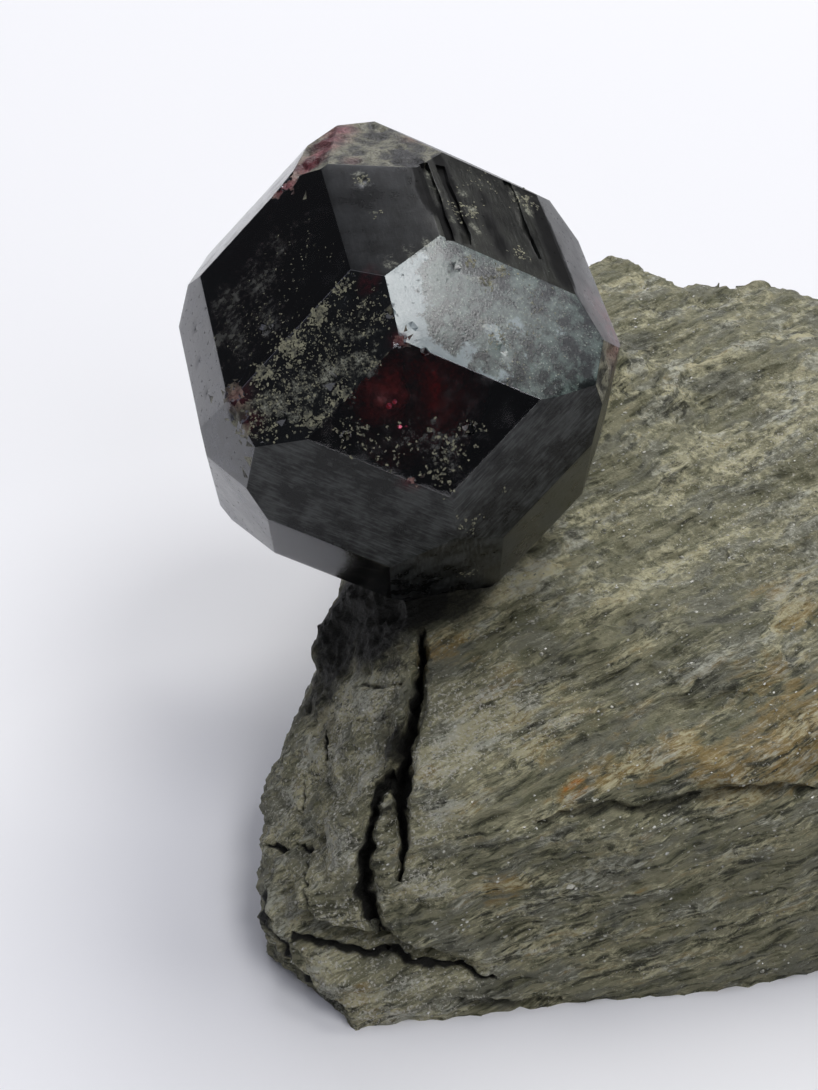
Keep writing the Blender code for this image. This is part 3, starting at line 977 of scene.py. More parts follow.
            # the painted shade of the hollows is drawn out along the growth steps
            drawn = 0.6 if name == "hollow" else 0.0
            for place_mm, radius_mm, strength in spots:
                centre = self.axes.spot(place_mm)
                for vert in bm.verts:
                    away = vert.co - centre
                    away -= steps * away.dot(steps) * drawn
                    near = 1.0 - away.length / (radius_mm * 1.5 * MM)
                    if near > 0.0:
                        vert[layer] = max(vert[layer], strength * near * near * (3.0 - 2.0 * near))


@dataclass
class Crumbs:
    """Small crumbs and dust that stick to the crystal's faces, in patches.

    Each face has patches: their centre in crystal axes, their spread, the number
    of crumbs and the crumbs' size, all in millimetres.
    """

    axes: CrystalFrame
    seed: int = 11
    kinds: int = 9
    flatness: tuple[tuple[float, float], ...] = ((0.7, 1.7), (0.5, 1.0), (0.2, 0.5))
    patches: dict[Miller, tuple[tuple[Place, float, int, float], ...]] = field(
        default_factory=lambda: {
            (2, 1, 1): (
                ((11.7, 1.7, 2.4), 0.55, 90, 0.085), ((10.7, 2.8, 3.3), 0.60, 110, 0.085),
                ((9.6, 3.8, 4.5), 0.50, 90, 0.08), ((8.7, 4.7, 5.4), 0.40, 30, 0.07),
                ((9.6, 6.5, 1.8), 0.45, 50, 0.07), ((10.7, 5.3, 0.8), 0.50, 60, 0.08),
                ((11.7, 4.2, -0.1), 0.60, 80, 0.08), ((12.5, 1.9, 0.5), 1.0, 100, 0.065),
                ((11.7, 2.9, 1.2), 1.2, 100, 0.06), ((10.5, 4.4, 2.0), 1.6, 90, 0.05),
                ((9.2, 4.4, 5.0), 1.8, 120, 0.045), ((8.6, 6.0, 4.2), 1.0, 60, 0.055),
                ((11.2, 3.4, 1.6), 2.4, 260, 0.030), ((9.8, 5.2, 2.8), 2.2, 220, 0.030),
                ((10.2, 3.2, 4.0), 1.2, 160, 0.040),
            ),
            (1, 1, 0): (
                ((10.7, 5.3, -0.8), 0.9, 34, 0.06), ((9.3, 6.7, -2.0), 1.2, 36, 0.06),
                ((7.7, 8.3, -2.2), 1.1, 34, 0.07), ((8.2, 7.8, -3.4), 0.9, 34, 0.075),
                ((6.6, 9.4, -1.7), 0.5, 8, 0.06),
            ),
            (1, 0, 1): (
                ((10.2, 1.0, 4.0), 2.4, 120, 0.035), ((7.7, 1.7, 6.5), 1.8, 60, 0.032),
                ((10.8, 2.3, 3.4), 1.0, 50, 0.05),
            ),
            (1, 2, 1): (
                ((3.9, 9.1, 4.2), 0.4, 26, 0.07), ((3.0, 9.4, 4.5), 0.4, 24, 0.07),
                ((4.0, 8.5, 5.2), 0.3, 22, 0.07), ((4.7, 9.8, 1.9), 0.6, 26, 0.05),
                ((2.2, 10.8, 2.4), 1.5, 80, 0.035), ((4.2, 10.5, 1.0), 1.6, 90, 0.035),
            ),
            (0, 1, 1): (
                ((1.8, 7.0, 7.1), 0.7, 50, 0.065), ((-2.4, 7.5, 6.6), 0.6, 36, 0.065),
                ((1.3, 9.3, 4.8), 0.5, 26, 0.06), ((-1.1, 6.1, 8.1), 1.2, 40, 0.045),
            ),
            (1, 1, 2): (
                ((3.7, 3.0, 9.3), 0.3, 20, 0.06), ((4.9, 4.5, 8.0), 0.25, 10, 0.045),
            ),
            (1, 2, -1): (
                ((5.4, 9.1, -5.3), 0.2, 8, 0.06), ((6.8, 7.8, -6.3), 0.6, 26, 0.055),
            ),
            (1, 1, -2): (
                ((3.8, 4.5, -10.1), 0.5, 14, 0.08),
            ),
            (2, 1, -1): (
                ((8.0, 8.1, -4.6), 0.4, 12, 0.05),
            ),
        }
    )

    def build(self, solid: bpy.types.Object, mineral: PlainMineral) -> bpy.types.Object:
        """Scatter the crumbs on the crystal.

        Args:
            solid: The crystal that they stick to.
            mineral: The crumbs' finish.

        Returns:
            The piece with all crumbs.
        """
        chance = random.Random(self.seed)
        grains = [Stamp.grain(chance) for _ in range(self.kinds)]
        bm = bmesh.new()
        flat = [(face, *patch) for face, patches in self.patches.items() for patch in patches]
        for indices, place, spread, count, size in flat:
            normal = self.axes.direction(indices)
            sideways = normal.orthogonal().normalized()
            upward = normal.cross(sideways)
            turn = facing(normal)
            for _ in range(count):
                start = self.axes.spot(place) + normal * 2 * MM
                start += sideways * chance.gauss(0, 0.55) * spread * MM
                start += upward * chance.gauss(0, 0.55) * spread * MM
                hit, spot, found, _ = solid.ray_cast(start, -normal, distance=4 * MM)
                if not hit or found.dot(normal) < 0.96:
                    continue
                for _ in range(chance.choice((1, 1, 2, 3, 4))):
                    radius = size * chance.uniform(0.3, 1.15) * MM
                    spin = Matrix.Rotation(chance.uniform(0, math.tau), 4, "Z")
                    sides = [radius * chance.uniform(*span) for span in self.flatness]
                    shape = Matrix.Diagonal((*sides, 1.0))
                    chance.choice(grains).lay(bm, Matrix.Translation(spot) @ turn @ spin @ shape)
                    step = sideways * chance.gauss(0, 1) + upward * chance.gauss(0, 1)
                    spot = spot + step * size * 0.9 * MM
        made = piece_from(bm, "chlorite_crumbs", [mineral.material()], 20.0)
        return made


@dataclass
class Veils:
    """Healed cracks under the skin that throw back a deep red.

    Each veil is a bowed film: the face above it, its middle on that face in
    crystal axes, its depth there, its depth at the rim and its radius, in mm.
    """

    axes: CrystalFrame
    veils: tuple[tuple[Miller, Place, float, float, float], ...] = (
        ((1, 1, 0), (8.2, 7.8, 0.2), 2.7, 4.4, 3.8), ((1, 1, 0), (9.5, 6.5, 0.5), 0.75, 2.2, 1.6),
        ((1, 1, 0), (9.15, 6.85, 0.15), 0.04, 0.12, 0.11),
        ((1, 1, 0), (9.35, 6.65, 0.0), 0.10, 0.26, 0.14), ((1, 1, 0), (9.2, 6.9, -1.0), 0.03, 0.10, 0.11),
        ((1, 1, 0), (8.95, 7.05, -1.05), 0.04, 0.08, 0.05),
    )

    def build(self, mineral: PlainMineral, flash: PlainMineral) -> bpy.types.Object:
        """Build the veils inside the crystal.

        Args:
            mineral: The finish of the wide ones.
            flash: The finish of the small bright ones.

        Returns:
            The piece with all veils.
        """
        bm = bmesh.new()
        for indices, place, depth, rim, radius in self.veils:
            turn = Matrix.Translation(self.axes.spot(place)) @ facing(self.axes.direction(indices))
            wide = depth > 0.3
            seed = Vector(place)
            film = bmesh.ops.create_icosphere(bm, subdivisions=4, radius=1.0)["verts"]
            for vert in film:
                flat = Vector((vert.co.x, vert.co.y, 0.0))
                sunk = depth + (rim - depth) * flat.length_squared
                if wide:
                    wave = noise.noise(flat * 1.7 + seed) + 0.5 * noise.noise(flat * 4.5 + seed)
                    sunk -= 0.24 * radius * wave
                    flat *= 1.0 + 0.5 * noise.noise(flat * 1.2)
                height = 0.12 * radius * vert.co.z - sunk
                vert.co = (flat * radius + Vector((0.0, 0.0, height))) * MM
            for face in {face for vert in film for face in vert.link_faces}:
                face.material_index = int(not wide)
            bmesh.ops.transform(bm, matrix=turn, verts=film)
        made = piece_from(bm, "garnet_veils", [mineral.material(), flash.material()], 60.0)
        return made


@dataclass(frozen=True)
class Groove:
    """A crack: its depth, its way in, the strength of the painted shade along it and its stops (x, y, z and
    half width, in mm).
    """

    depth_mm: float
    inward: Place
    painted_shade: float
    stops: tuple[tuple[float, float, float, float], ...]
    wobble: Waves = ((0.9, 0.22), (0.35, 0.08))
    search_mm: float = 2.2
    flatness: float = 0.7

    def shares(self, tree: kdtree.KDTree) -> dict[int, float]:
        """Return how far into the crack each vertex near it lies: up to 1 on its line.

        Args:
            tree: The search tree of the stone's vertices.

        Returns:
            The share of the full depth, by vertex index.
        """
        way = Vector(self.inward).normalized()
        found: dict[int, float] = {}
        for first, second in zip(self.stops, self.stops[1:]):
            start, end = Vector(first[:3]), Vector(second[:3])
            along = end - start
            reach = (along.length / 2.0 + self.search_mm) * MM
            for place, index, _ in tree.find_range((start + end) / 2.0 * MM, reach):
                spot = place / MM
                shifts = (noise.noise_vector(spot / size) * shift for size, shift in self.wobble)
                spot += sum(shifts, Vector())
                part = within((spot - start).dot(along) / along.length_squared)
                gap = spot - start - along * part
                gap -= way * gap.dot(way) * self.flatness
                share = 1.0 - gap.length / (first[3] + (second[3] - first[3]) * part)
                if share > found.get(index, 0.0):
                    found[index] = share
        return found


@dataclass
class Schist:
    """The stone: its split skin, its cracks and stains, its mica flakes and its quartz grains."""

    planes: list[Plane]
    crystal_centre: Vector
    voxel: float = 0.26 * MM
    grain: Vector = field(default_factory=lambda: Vector((0.82, 0.56, 0.12)).normalized())
    layer: Vector = field(default_factory=lambda: Vector((-0.14, 0.20, 0.97)).normalized())
    ridge_mm: Place = (3.8, 0.75, 0.5)
    ridge_rise: float = 0.18 * MM
    ledge_step: float = 0.62 * MM
    ledge_rise: float = 0.24 * MM
    layer_bends: Waves = ((2.4, 0.9),)
    knobs: Waves = ((0.9, 1.0), (0.5, 0.7))
    knob_rise: float = 0.11 * MM
    undercut: float = 0.30 * MM
    undercut_height: float = 1.0 * MM
    broken_end: float = -19.8 * MM
    buried_gap: float = 0.02 * MM
    touching: float = 0.7 * MM
    stamp_kinds: int = 9
    flake_count: int = 7600
    flake_thickness: float = 0.12 * MM
    quartz_count: int = 320
    seed: int = 3
    crack_seed: int = 1795473675
    # each groove is also painted dark along its line: painted shade in the cracks, under the brow and along
    # the foot's seams with the floor
    grooves: tuple[Groove, ...] = (
        Groove(1.5, (0.0, 0.35, -0.94), 1.0, (
            (-18.9, -10.6, 11.6, 0.20), (-18.9, -11.8, 11.3, 0.30), (-19.1, -13.6, 11.1, 0.36),
            (-19.4, -15.7, 10.6, 0.44), (-19.8, -17.3, 10.2, 0.66), (-19.9, -18.8, 9.5, 0.64),
            (-19.8, -20.4, 8.7, 0.36), (-19.9, -21.8, 7.7, 0.24), (-20.0, -22.8, 6.3, 0.10),
        )),
        Groove(1.4, (0.0, 0.7, -0.7), 1.0, (
            (-20.2, -18.6, 9.6, 0.40), (-20.9, -19.5, 9.2, 0.36), (-21.3, -20.6, 8.2, 0.32),
            (-21.6, -21.7, 7.2, 0.38), (-21.7, -22.5, 6.0, 0.46), (-21.3, -23.1, 5.0, 0.42),
            (-20.8, -23.5, 4.1, 0.34), (-20.5, -23.6, 3.2, 0.20),
        )),
        Groove(0.45, (0.0, 0.8, -0.3), 0.85, (
            (-24.8, -22.7, 3.0, 0.18), (-23.5, -23.1, 2.9, 0.24), (-21.8, -23.6, 2.8, 0.28),
            (-20.9, -23.6, 2.9, 0.28), (-20.1, -23.5, 3.1, 0.24), (-19.6, -24.1, 2.9, 0.20),
            (-18.4, -24.1, 2.6, 0.19), (-17.2, -23.7, 2.3, 0.19), (-16.3, -24.2, 2.0, 0.15),
            (-14.6, -24.2, 1.8, 0.08),
        )),
        Groove(0.3, (0.7, 0.7, 0.2), 1.0, (
            (-26.7, -20.6, 3.1, 0.45), (-26.2, -21.6, 2.4, 0.50), (-25.4, -22.4, 1.8, 0.45),
            (-24.7, -23.2, 1.4, 0.45), (-24.0, -23.8, 0.7, 0.40), (-23.3, -24.5, 0.6, 0.30),
            (-22.6, -25.2, 0.6, 0.15),
        )),
        Groove(0.35, (0.5, 0.4, -0.7), 1.0, (
            (-26.5, -17.2, 3.7, 0.12), (-26.1, -17.6, 4.0, 0.20), (-25.6, -18.3, 4.3, 0.20),
            (-25.2, -18.6, 4.6, 0.06),
        )),
        Groove(0.30, (0.5, 0.4, -0.7), 0.8, (
            (-24.9, -18.3, 4.7, 0.06), (-24.6, -18.6, 4.9, 0.15), (-24.1, -19.3, 5.3, 0.17),
            (-24.1, -20.1, 5.4, 0.08),
        )),
        Groove(0.25, (0.6, 0.3, -0.7), 0.5, (
            (-24.4, -19.6, 4.9, 0.08), (-24.5, -21.4, 5.1, 0.14), (-24.5, -22.4, 4.9, 0.14),
            (-24.6, -22.5, 3.3, 0.08),
        )),
        Groove(0.25, (0.6, 0.3, -0.7), 0.5, (
            (-24.6, -13.8, 5.2, 0.06), (-24.7, -15.0, 5.2, 0.14), (-24.8, -16.7, 5.2, 0.08),
        )),
        Groove(0.35, (0.5, 0.2, -0.8), 1.0, (
            (-23.8, -12.2, 7.2, 0.08), (-23.7, -13.4, 7.1, 0.20), (-23.5, -14.8, 7.0, 0.10),
        )),
        Groove(0.35, (0.2, 0.5, -0.8), 0.5, (
            (-22.8, -11.2, 8.6, 0.06), (-21.7, -12.2, 9.6, 0.16), (-20.8, -12.7, 10.1, 0.18),
            (-20.0, -13.5, 10.8, 0.08),
        )),
        Groove(0.30, (0.2, 0.5, -0.8), 0.45, (
            (-22.5, -13.7, 8.5, 0.06), (-21.5, -14.8, 9.6, 0.16), (-20.5, -15.1, 10.1, 0.10),
        )),
        Groove(0.35, (0.0, 0.9, -0.2), 0.45, (
            (-13.8, -21.1, 8.7, 0.08), (-12.0, -20.6, 9.0, 0.28), (-10.8, -20.4, 9.1, 0.36),
            (-9.0, -20.3, 8.8, 0.30), (-6.6, -19.8, 9.1, 0.42), (-4.3, -19.5, 9.2, 0.44),
            (-2.3, -18.9, 8.8, 0.40), (-0.7, -18.5, 8.5, 0.15),
        )),
        Groove(0.5, (0.0, 0.9, 0.1), 0.4, (
            (-17.5, -24.9, 0.9, 0.20), (-16.3, -24.7, 0.6, 0.45), (-14.4, -24.6, 0.3, 0.40),
            (-12.5, -24.3, 0.4, 0.12),
        )),
    )
    # painted shade under the crystal and on its left flank, beside the main crack and at the top left; the
    # last three only darken the middle of the top
    shades: Spots = (
        ((-22.6, -6.4, 9.9), 2.6, 0.95), ((-20.8, -9.0, 11.2), 2.4, 0.90),
        ((-19.3, -9.2, 12.1), 1.8, 0.85), ((-17.4, -8.9, 12.2), 1.6, 0.60),
        ((-15.6, -6.4, 11.6), 1.6, 0.50), ((-23.2, -8.4, 8.6), 2.3, 0.70),
        ((-24.4, -9.0, 7.0), 1.9, 0.55), ((-20.4, -11.2, 11.1), 1.5, 0.45),
        ((-20.2, -17.4, 10.0), 0.7, 0.60), ((-20.4, -18.8, 9.4), 0.6, 0.60),
        ((-20.3, -20.0, 8.7), 0.5, 0.45), ((-20.7, -16.2, 10.0), 0.8, 0.40),
        ((-23.9, -10.4, 7.6), 1.6, 0.45), ((-20.4, -17.0, 10.2), 0.9, 0.65),
        ((-20.7, -15.2, 10.0), 0.9, 0.35), ((-23.7, -12.7, 7.2), 0.9, 0.40),
        ((-4.0, -8.5, 11.9), 4.0, 0.22), ((0.0, -6.0, 11.8), 4.5, 0.22), ((2.0, -11.0, 11.6), 4.0, 0.18),
    )
    # pale patches: partly paler, mica-rich rock, partly painted light on the crack's right lip, the left
    # block and the foot's facet
    pales_and_painted_light: Spots = (
        ((-18.0, -15.3, 11.2), 1.5, 1.0), ((-17.9, -18.5, 10.6), 1.8, 1.0),
        ((-16.0, -15.9, 11.0), 2.4, 0.9), ((-13.8, -16.2, 10.9), 2.2, 0.6),
        ((-18.8, -21.2, 8.9), 1.3, 0.9), ((-18.8, -22.6, 6.6), 1.2, 0.9), ((-23.2, -13.2, 7.7), 2.0, 1.0),
        ((-21.0, -13.8, 9.8), 1.6, 1.0), ((-22.4, -17.6, 7.8), 2.4, 1.0), ((-24.8, -15.0, 5.2), 2.2, 0.8),
        ((-22.8, -21.0, 7.0), 1.8, 1.0), ((-24.6, -20.6, 4.9), 2.0, 0.8), ((-22.4, -22.8, 4.8), 1.6, 0.9),
        ((-20.2, -25.0, 1.3), 2.2, 0.9), ((-22.3, -24.4, 2.0), 2.0, 0.9), ((-17.6, -24.6, 1.6), 1.8, 0.7),
        ((0.0, -3.0, 12.0), 5.0, 0.35), ((3.0, 6.0, 12.0), 6.0, 0.40), ((-20.6, -20.9, 8.3), 0.9, 0.7),
    )
    stains: Spots = (
        ((-12.0, -19.8, 9.6), 0.55, 1.40), ((-11.2, -19.0, 9.8), 1.3, 0.70),
        ((-8.9, -18.4, 10.3), 1.6, 0.50), ((-6.2, -17.8, 10.5), 2.0, 0.60),
        ((-3.8, -17.8, 10.3), 2.2, 0.74), ((-1.3, -17.2, 10.4), 2.4, 0.80),
        ((-1.0, -15.0, 11.0), 2.2, 0.74), ((-12.5, -17.4, 10.4), 1.8, 0.50),
        ((-10.2, -16.6, 10.7), 1.8, 0.45), ((-3.0, -14.1, 10.9), 1.8, 0.55),
        ((-17.9, -12.0, 11.7), 1.1, 0.80), ((-17.0, -12.8, 11.7), 0.9, 0.50),
        ((-15.2, -14.5, 11.3), 1.2, 0.50), ((-13.8, -15.4, 11.0), 1.3, 0.40),
        ((-18.6, -19.6, 10.3), 0.6, 0.65), ((-1.2, -6.9, 11.6), 1.2, 0.60),
        ((-0.1, -9.0, 11.8), 1.2, 0.60), ((-15.2, -22.7, 6.2), 1.1, 0.50),
        ((-22.4, -25.1, 1.4), 0.9, 0.50), ((-20.9, -25.4, 0.6), 1.0, 0.50),
    )

    def grain_turn(self) -> Euler:
        """Return the turn that lays X along the grain and Z across the layers."""
        across = self.layer.cross(self.grain).normalized()
        up = self.grain.cross(across).normalized()
        return Matrix((self.grain, across, up)).transposed().to_euler()

    def grained(self, place: Vector, size_mm: Place) -> Vector:
        """Return a place measured along the grain, across it and across the layers, in these sizes."""
        ways = (self.grain, self.layer.cross(self.grain).normalized(), self.layer)
        return Vector([place.dot(way) / (side * MM) for way, side in zip(ways, size_mm)])

    def build(self, finish: MicaSchist) -> bpy.types.Object:
        """Build and dress the stone's body.

        Args:
            finish: The stone's finish.

        Returns:
            The stone piece.
        """
        # without a seed the cracks' wobble would change with the clock
        noise.seed_set(self.crack_seed)
        solid = into_scene("stone_solid", mesh_of(merged_copy("schist_matrix"), "stone_solid"))
        remesh = solid.modifiers.new("even", "REMESH")
        remesh.mode = "VOXEL"
        remesh.voxel_size = self.voxel
        even = bpy.data.meshes.new_from_object(solid.evaluated_get(bpy.context.evaluated_depsgraph_get()))
        bpy.data.objects.remove(solid)
        bm = bmesh.new()
        bm.from_mesh(even)
        bm.normal_update()
        tree = search_tree(bm)
        cracked = {index for groove in self.grooves for index in groove.shares(tree)}
        near = [edge for edge in bm.edges if any(vert.index in cracked for vert in edge.verts)]
        bmesh.ops.subdivide_edges(bm, edges=near, cuts=1, use_grid_fill=True)
        bm.normal_update()
        self.split_skin(bm)
        level = [face for face in bm.faces if face.normal.z < -0.999]
        under = [face for face in level if face.calc_center_median().z < 0.05 * MM]
        bmesh.ops.dissolve_faces(bm, faces=under, use_verts=False)
        bmesh.ops.triangulate(bm, faces=bm.faces[:])
        made = piece_from(bm, "schist", [finish.material()], 60.0)
        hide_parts("schist_matrix")
        return made

    def paint(self, bm: bmesh.types.BMesh, tree: kdtree.KDTree) -> None:
        """Paint the painted shade, the pale patches, partly painted light, and the rust-stained patches, a
        little longer along the grain.

        Args:
            bm: The stone.
            tree: The search tree of its vertices.
        """
        bm.verts.ensure_lookup_table()
        # gap takes the painted shade; pale is partly painted light
        for name, spots in (("gap", self.shades), ("pale", self.pales_and_painted_light), ("stain", self.stains)):
            layer = bm.verts.layers.float.new(name)
            for place_mm, radius_mm, strength in spots:
                centre, reach = Vector(place_mm) * MM, radius_mm * 1.3 * MM
                for place, index, _ in tree.find_range(centre, 1.7 * reach):
                    away = place - centre
                    away -= self.grain * away.dot(self.grain) * 0.4
                    near = min(1.0, 1.6 - 1.6 * away.length / reach)
                    bm.verts[index][layer] = max(bm.verts[index][layer], strength * near)

    def split_skin(self, bm: bmesh.types.BMesh) -> None:
        """Move the skin into ridges, ledges, knobs and cracks, and paint shade into the cracks.

        Args:
            bm: The stone.
        """
        tree = search_tree(bm)
        self.paint(bm, tree)
        # the gap layer holds the painted shade
        shade_layer = bm.verts.layers.float["gap"]
        edges = bm.verts.layers.float.new("edge_on")
        moves = [Vector() for _ in bm.verts]
        for groove in self.grooves:
            way = Vector(groove.inward).normalized() * groove.depth_mm * MM
            for index, share in groove.shares(tree).items():
                # painted shade along the crack, darkest on its line
                dark = groove.painted_shade * within(2.0 * share - 0.25)
                bm.verts[index][shade_layer] = max(bm.verts[index][shade_layer], dark)
                if way.length * share**0.8 > moves[index].length:
                    moves[index] = way * share**0.8
        for vert, move in zip(bm.verts, moves):
            place = vert.co
            drawn = self.grained(place, self.ridge_mm)
            ridge = 0.5 - abs(noise.noise(drawn)) * 1.6 + 0.6 * noise.noise(drawn * 2.3)
            layer = place.dot(self.layer) / self.ledge_step + bumps(place, self.layer_bends)
            on_top = max(0.0, vert.normal.dot(self.layer))
            step = layer - math.floor(layer) - 0.5
            edge_on = min(1.0, 2.4 * (1.0 - on_top))
            vert[edges] = edge_on
            side = sum(
                part * noise.noise(Vector((layer * stretch, place.x / size, place.y / size)))
                for part, stretch, size in ((1.0, 0.9, 3 * MM), (0.6, 1.9, 2 * MM))
            )
            ledge = step * on_top * (1.0 - edge_on) + 0.9 * side * edge_on
            ledge *= within(place.z / MM - 0.2)
            knob = bumps(place, self.knobs)
            broken = within((self.broken_end - place.x) / (1.2 * MM)) * within(-place.y / (2.0 * MM) - 6.0)
            lift = ledge * self.ledge_rise + knob * self.knob_rise
            lift = ridge * self.ridge_rise + lift * (1.0 + 0.5 * broken)
            move += vert.normal * lift
            under = max(0.0, 1.0 - place.z / self.undercut_height)
            move -= Vector((vert.normal.x, vert.normal.y, 0.0)) * under * self.undercut
            move.z *= within((place.z / MM - 0.12) / 0.8)
            away = -min(plane.depth(place) for plane in self.planes)
            if away < self.touching:
                move = (self.crystal_centre - place).normalized() * max(0.0, away - self.buried_gap)
            vert.co += move
        bm.normal_update()

    def scatter(
        self, stone: bpy.types.Object, count: int, chance: random.Random
    ) -> list[tuple[Vector, Vector]]:
        """Pick random spots on the stone's skin, mostly in bands along the grain.

        Args:
            stone: The stone piece.
            count: How many spots.
            chance: The source of chance.

        Returns:
            Each spot and the skin's direction there.
        """
        faces, weights = [], []
        shade_layer = stone.data.attributes["gap"].data
        for face in stone.data.polygons:
            # no flakes or grains where shade is painted
            if face.center.z > 0.3 * MM and shade_layer[face.vertices[0]].value < 0.35:
                band = noise.noise(self.grained(face.center, (6.0, 1.2, 0.8)))
                faces.append(face)
                broken = 0.16 if face.center.x < self.broken_end else 0.0
                weights.append(face.area * (0.12 + broken + max(0.0, band) ** 1.5))
        chosen = chance.choices(faces, weights, k=count)
        return [(face.center.copy(), face.normal.copy()) for face in chosen]

    def flakes(self, stone: bpy.types.Object, mineral: PlainMineral) -> bpy.types.Object:
        """Lay small mica flakes on the skin, nearly along the layers.

        Args:
            stone: The stone piece.
            mineral: The flakes' finish.

        Returns:
            The piece with all flakes.
        """
        chance = random.Random(self.seed)
        flakes = [Stamp.flake(chance) for _ in range(self.stamp_kinds)]
        bm = bmesh.new()
        for spot, normal in self.scatter(stone, self.flake_count, chance):
            lean = Vector([chance.uniform(-0.5, 0.5) for _ in range(3)])
            upward = (normal + self.layer * 0.5 + lean).normalized()
            size = chance.triangular(0.02, 0.09, 0.03) * MM
            along = (self.grain - upward * self.grain.dot(upward)).normalized()
            turn = Matrix((along, upward.cross(along), upward)).transposed().to_4x4()
            shape = Matrix.Diagonal((size * chance.uniform(1.0, 2.0), size, self.flake_thickness, 1.0))
            chance.choice(flakes).lay(bm, Matrix.Translation(spot + normal * 0.01 * MM) @ turn @ shape)
        made = piece_from(bm, "mica_flakes", [mineral.material()], 20.0)
        return made

    def quartz(self, stone: bpy.types.Object, mineral: PlainMineral) -> bpy.types.Object:
        """Set small quartz grains in the skin.

        Args:
            stone: The stone piece.
            mineral: The grains' finish.

        Returns:
            The piece with all grains.
        """
        chance = random.Random(self.seed + 1)
        grains = [Stamp.grain(chance) for _ in range(self.stamp_kinds)]
        bm = bmesh.new()
        for spot, normal in self.scatter(stone, self.quartz_count, chance):
            size = chance.triangular(0.04, 0.14, 0.05) * MM
            shape = Matrix.Diagonal((size * chance.uniform(1.0, 1.8), size, size * 0.6, 1.0))
            chance.choice(grains).lay(bm, Matrix.Translation(spot) @ facing(normal) @ shape)
        made = piece_from(bm, "quartz_grains", [mineral.material()], 20.0)
        return made


@dataclass(frozen=True)
class Lamp:
    """One round soft light: where it hangs, how wide it looks and how bright it is."""

    name: str
    azimuth: float
    rise: float
    half_width_degrees: float
    brightness: float
    colour: str
    distance: float = 1.2

    def hang(self, aim: Vector) -> None:
        """Hang the light so that it faces a point.

        Args:
            aim: The point.
        """
        data = bpy.data.lights.new(self.name, "AREA")
        data.shape = "DISK"
        data.size = 2.0 * self.distance * math.tan(math.radians(self.half_width_degrees))
        data.energy = self.brightness * math.pi**2 * (data.size / 2.0) ** 2
        data.color = linear(self.colour)[:3]
        made = into_scene(self.name, data)
        direction = toward(self.azimuth, self.rise)
        made.location = aim + direction * self.distance
        made.rotation_euler = direction.to_track_quat("Z", "Y").to_euler()


@dataclass
class Studio:
    """The pale floor, the soft lights and the camera."""

    aim: Vector = field(default_factory=lambda: Vector((-0.012, -0.004, 0.010)))
    camera_place: Vector = field(default_factory=lambda: Vector((-19.59, -89.37, 72.1)) * MM)
    camera_tilt: float = 35.0
    lens_mm: float = 66.65
    room_colour: str = "#C9CCDA"
    room_brightness: float = 0.09
    paper: str = "#EDEDEF"
    lamps: tuple[Lamp, ...] = (
        Lamp("window", -34.0, 63.5, 12.0, 6.1, "#FFFFFF"),
        Lamp("back_window", 62.0, 54.0, 16.0, 6.2, "#FFFEFA"),
        Lamp("back_wall", 95.0, 35.0, 14.0, 5.6, "#F6F7FF"),
        Lamp("side_wall", 5.0, 50.0, 18.0, 0.7, "#F4F5FF"),
        Lamp("front_wall", -60.0, 35.0, 14.0, 2.6, "#F4F5FF"),
        Lamp("left_wall", -175.0, 40.0, 16.0, 0.72, "#E2E6FF"),
        Lamp("ceiling", 175.0, 72.0, 20.0, 0.8, "#F2F4FF"),
    )

    def camera(self) -> None:
        """Make the camera and give it to the scene."""
        data = bpy.data.cameras.new("camera")
        data.sensor_fit = "AUTO"
        data.sensor_width = 36.0
        data.lens = self.lens_mm
        data.clip_start = 0.002
        made = into_scene("camera", data)
        made.location = self.camera_place
        made.rotation_euler = (math.radians(90.0 - self.camera_tilt), 0.0, 0.0)
        bpy.context.scene.camera = made

    def floor(self) -> None:
        """Lay the pale paper floor."""
        paper = Recipe("pale_paper")
        look = {"Base Color": linear(self.paper), "Roughness": 0.9, "Specular IOR Level": 0.1}
        for name, value in look.items():
            paper.shader.inputs[name].default_value = value
        bm = bmesh.new()
        bmesh.ops.create_grid(bm, x_segments=1, y_segments=1, size=4.0)
        mesh = mesh_of(bm, "paper")
        mesh.materials.append(paper.material)
        made = into_scene("paper", mesh)

    def build(self) -> None:
        """Build the whole stage."""
        self.floor()
        self.camera()
        for lamp in self.lamps:
            lamp.hang(self.aim)
        world = bpy.data.worlds.new("room")
        world.use_nodes = True
        room = world.node_tree.nodes["Background"]
        room.inputs["Color"].default_value = linear(self.room_colour)
        room.inputs["Strength"].default_value = self.room_brightness
        bpy.context.scene.world = world
        bpy.context.scene.view_settings.view_transform = "Standard"


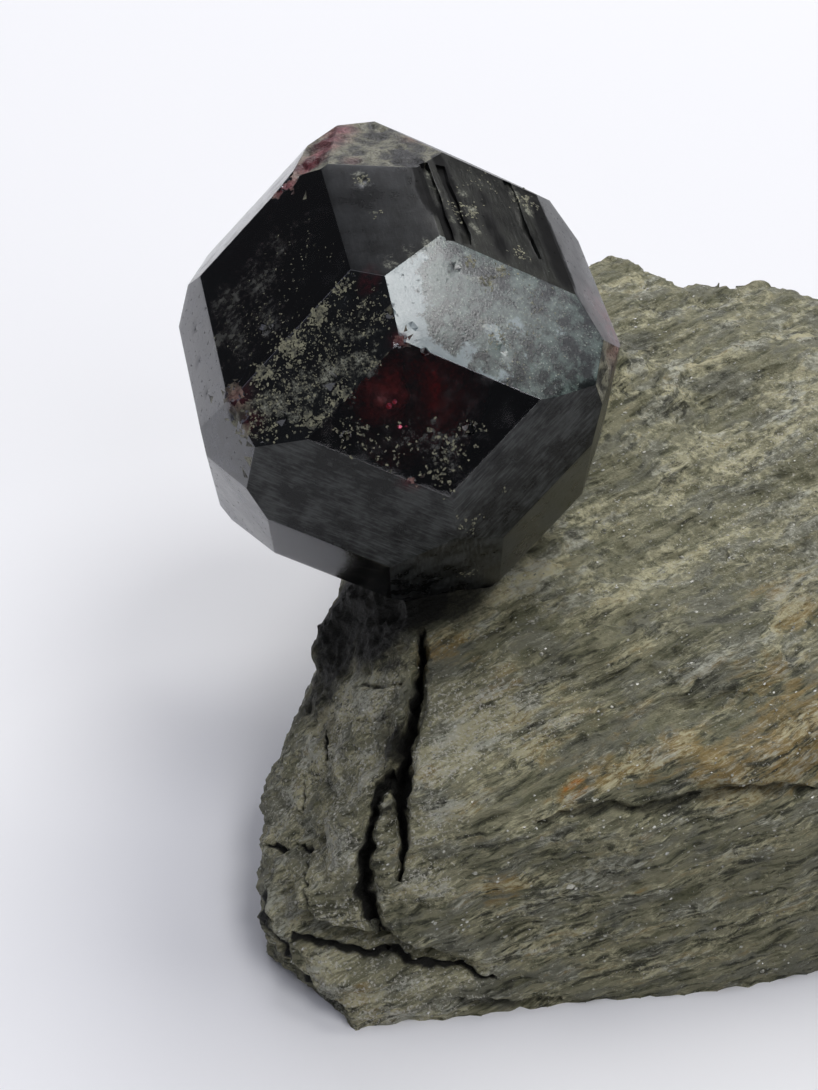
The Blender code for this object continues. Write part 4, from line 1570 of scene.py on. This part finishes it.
def main() -> None:
    """Build and dress every piece in order and report each one."""
    logging.basicConfig(level=logging.INFO, format="%(relativeCreated)d ms: %(message)s")
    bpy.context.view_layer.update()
    axes = CrystalFrame()
    garnet = Garnet(axes)
    planes = garnet.planes()
    LOG.info("crystal planes: %d", len(planes))
    finishes = (
        ClearGarnet(),
        WeatheredGarnet("garnet_polished", "#0B0C0D", "#131516", 0.11, specks=0.25),
        WeatheredGarnet(
            "garnet_satin", "#0B0C0D", "#17191B", 0.30, lines=0.2, specks=0.2, etch=0.25, ior=1.27
        ),
        WeatheredGarnet(
            "garnet_frosted", "#0B1110", "#57655F", 0.20, specks=1.0, pits=0.5, etch=0.5, frost=0.70
        ),
        WeatheredGarnet(
            "garnet_lined", "#060707", "#373938", 0.30, lines=0.8, specks=0.1, etch=0.2, ior=1.36
        ),
        WeatheredGarnet("garnet_pitted", "#222328", "#3E4047", 0.24, specks=0.2, pits=0.9, etch=0.2),
        BrokenGarnet(),
        WeatheredGarnet(
            "garnet_grooved", "#080908", "#1D1E19", 0.36,
            lines=0.7, specks=0.5, pits=0.3, etch=0.3, ior=1.27,
        ),
    )
    chlorite = PlainMineral("chlorite_crumb", "#38382F", "#8A8870", 0.75, 1.6, 0.25)
    healed = PlainMineral("healed_crack", "#6E5A58", "#A89490", 0.25, 1.6, 0.5)
    flash = PlainMineral("healed_crack_flash", "#FF4448", "#FF9CC8", 0.2, 1.6, 0.12)
    mica = PlainMineral("mica_flake", "#6E6E62", "#BCBBAF", 0.20, 1.6, 0.4)
    clear_quartz = PlainMineral("quartz_grain", "#6E6D62", "#BDBBAE", 0.40, 1.54, 0.3)
    schist = Schist(planes, axes.centre)
    crystal = garnet.build(planes, [finish.material() for finish in finishes])
    pieces = [crystal, Crumbs(axes).build(crystal, chlorite), Veils(axes).build(healed, flash)]
    stone = schist.build(MicaSchist(schist.grain_turn()))
    pieces += [stone, schist.flakes(stone, mica), schist.quartz(stone, clear_quartz)]
    for piece in pieces:
        LOG.info("%s: %d faces", piece.name, len(piece.data.polygons))
    Studio().build()


if __name__ == "__main__":
    main()
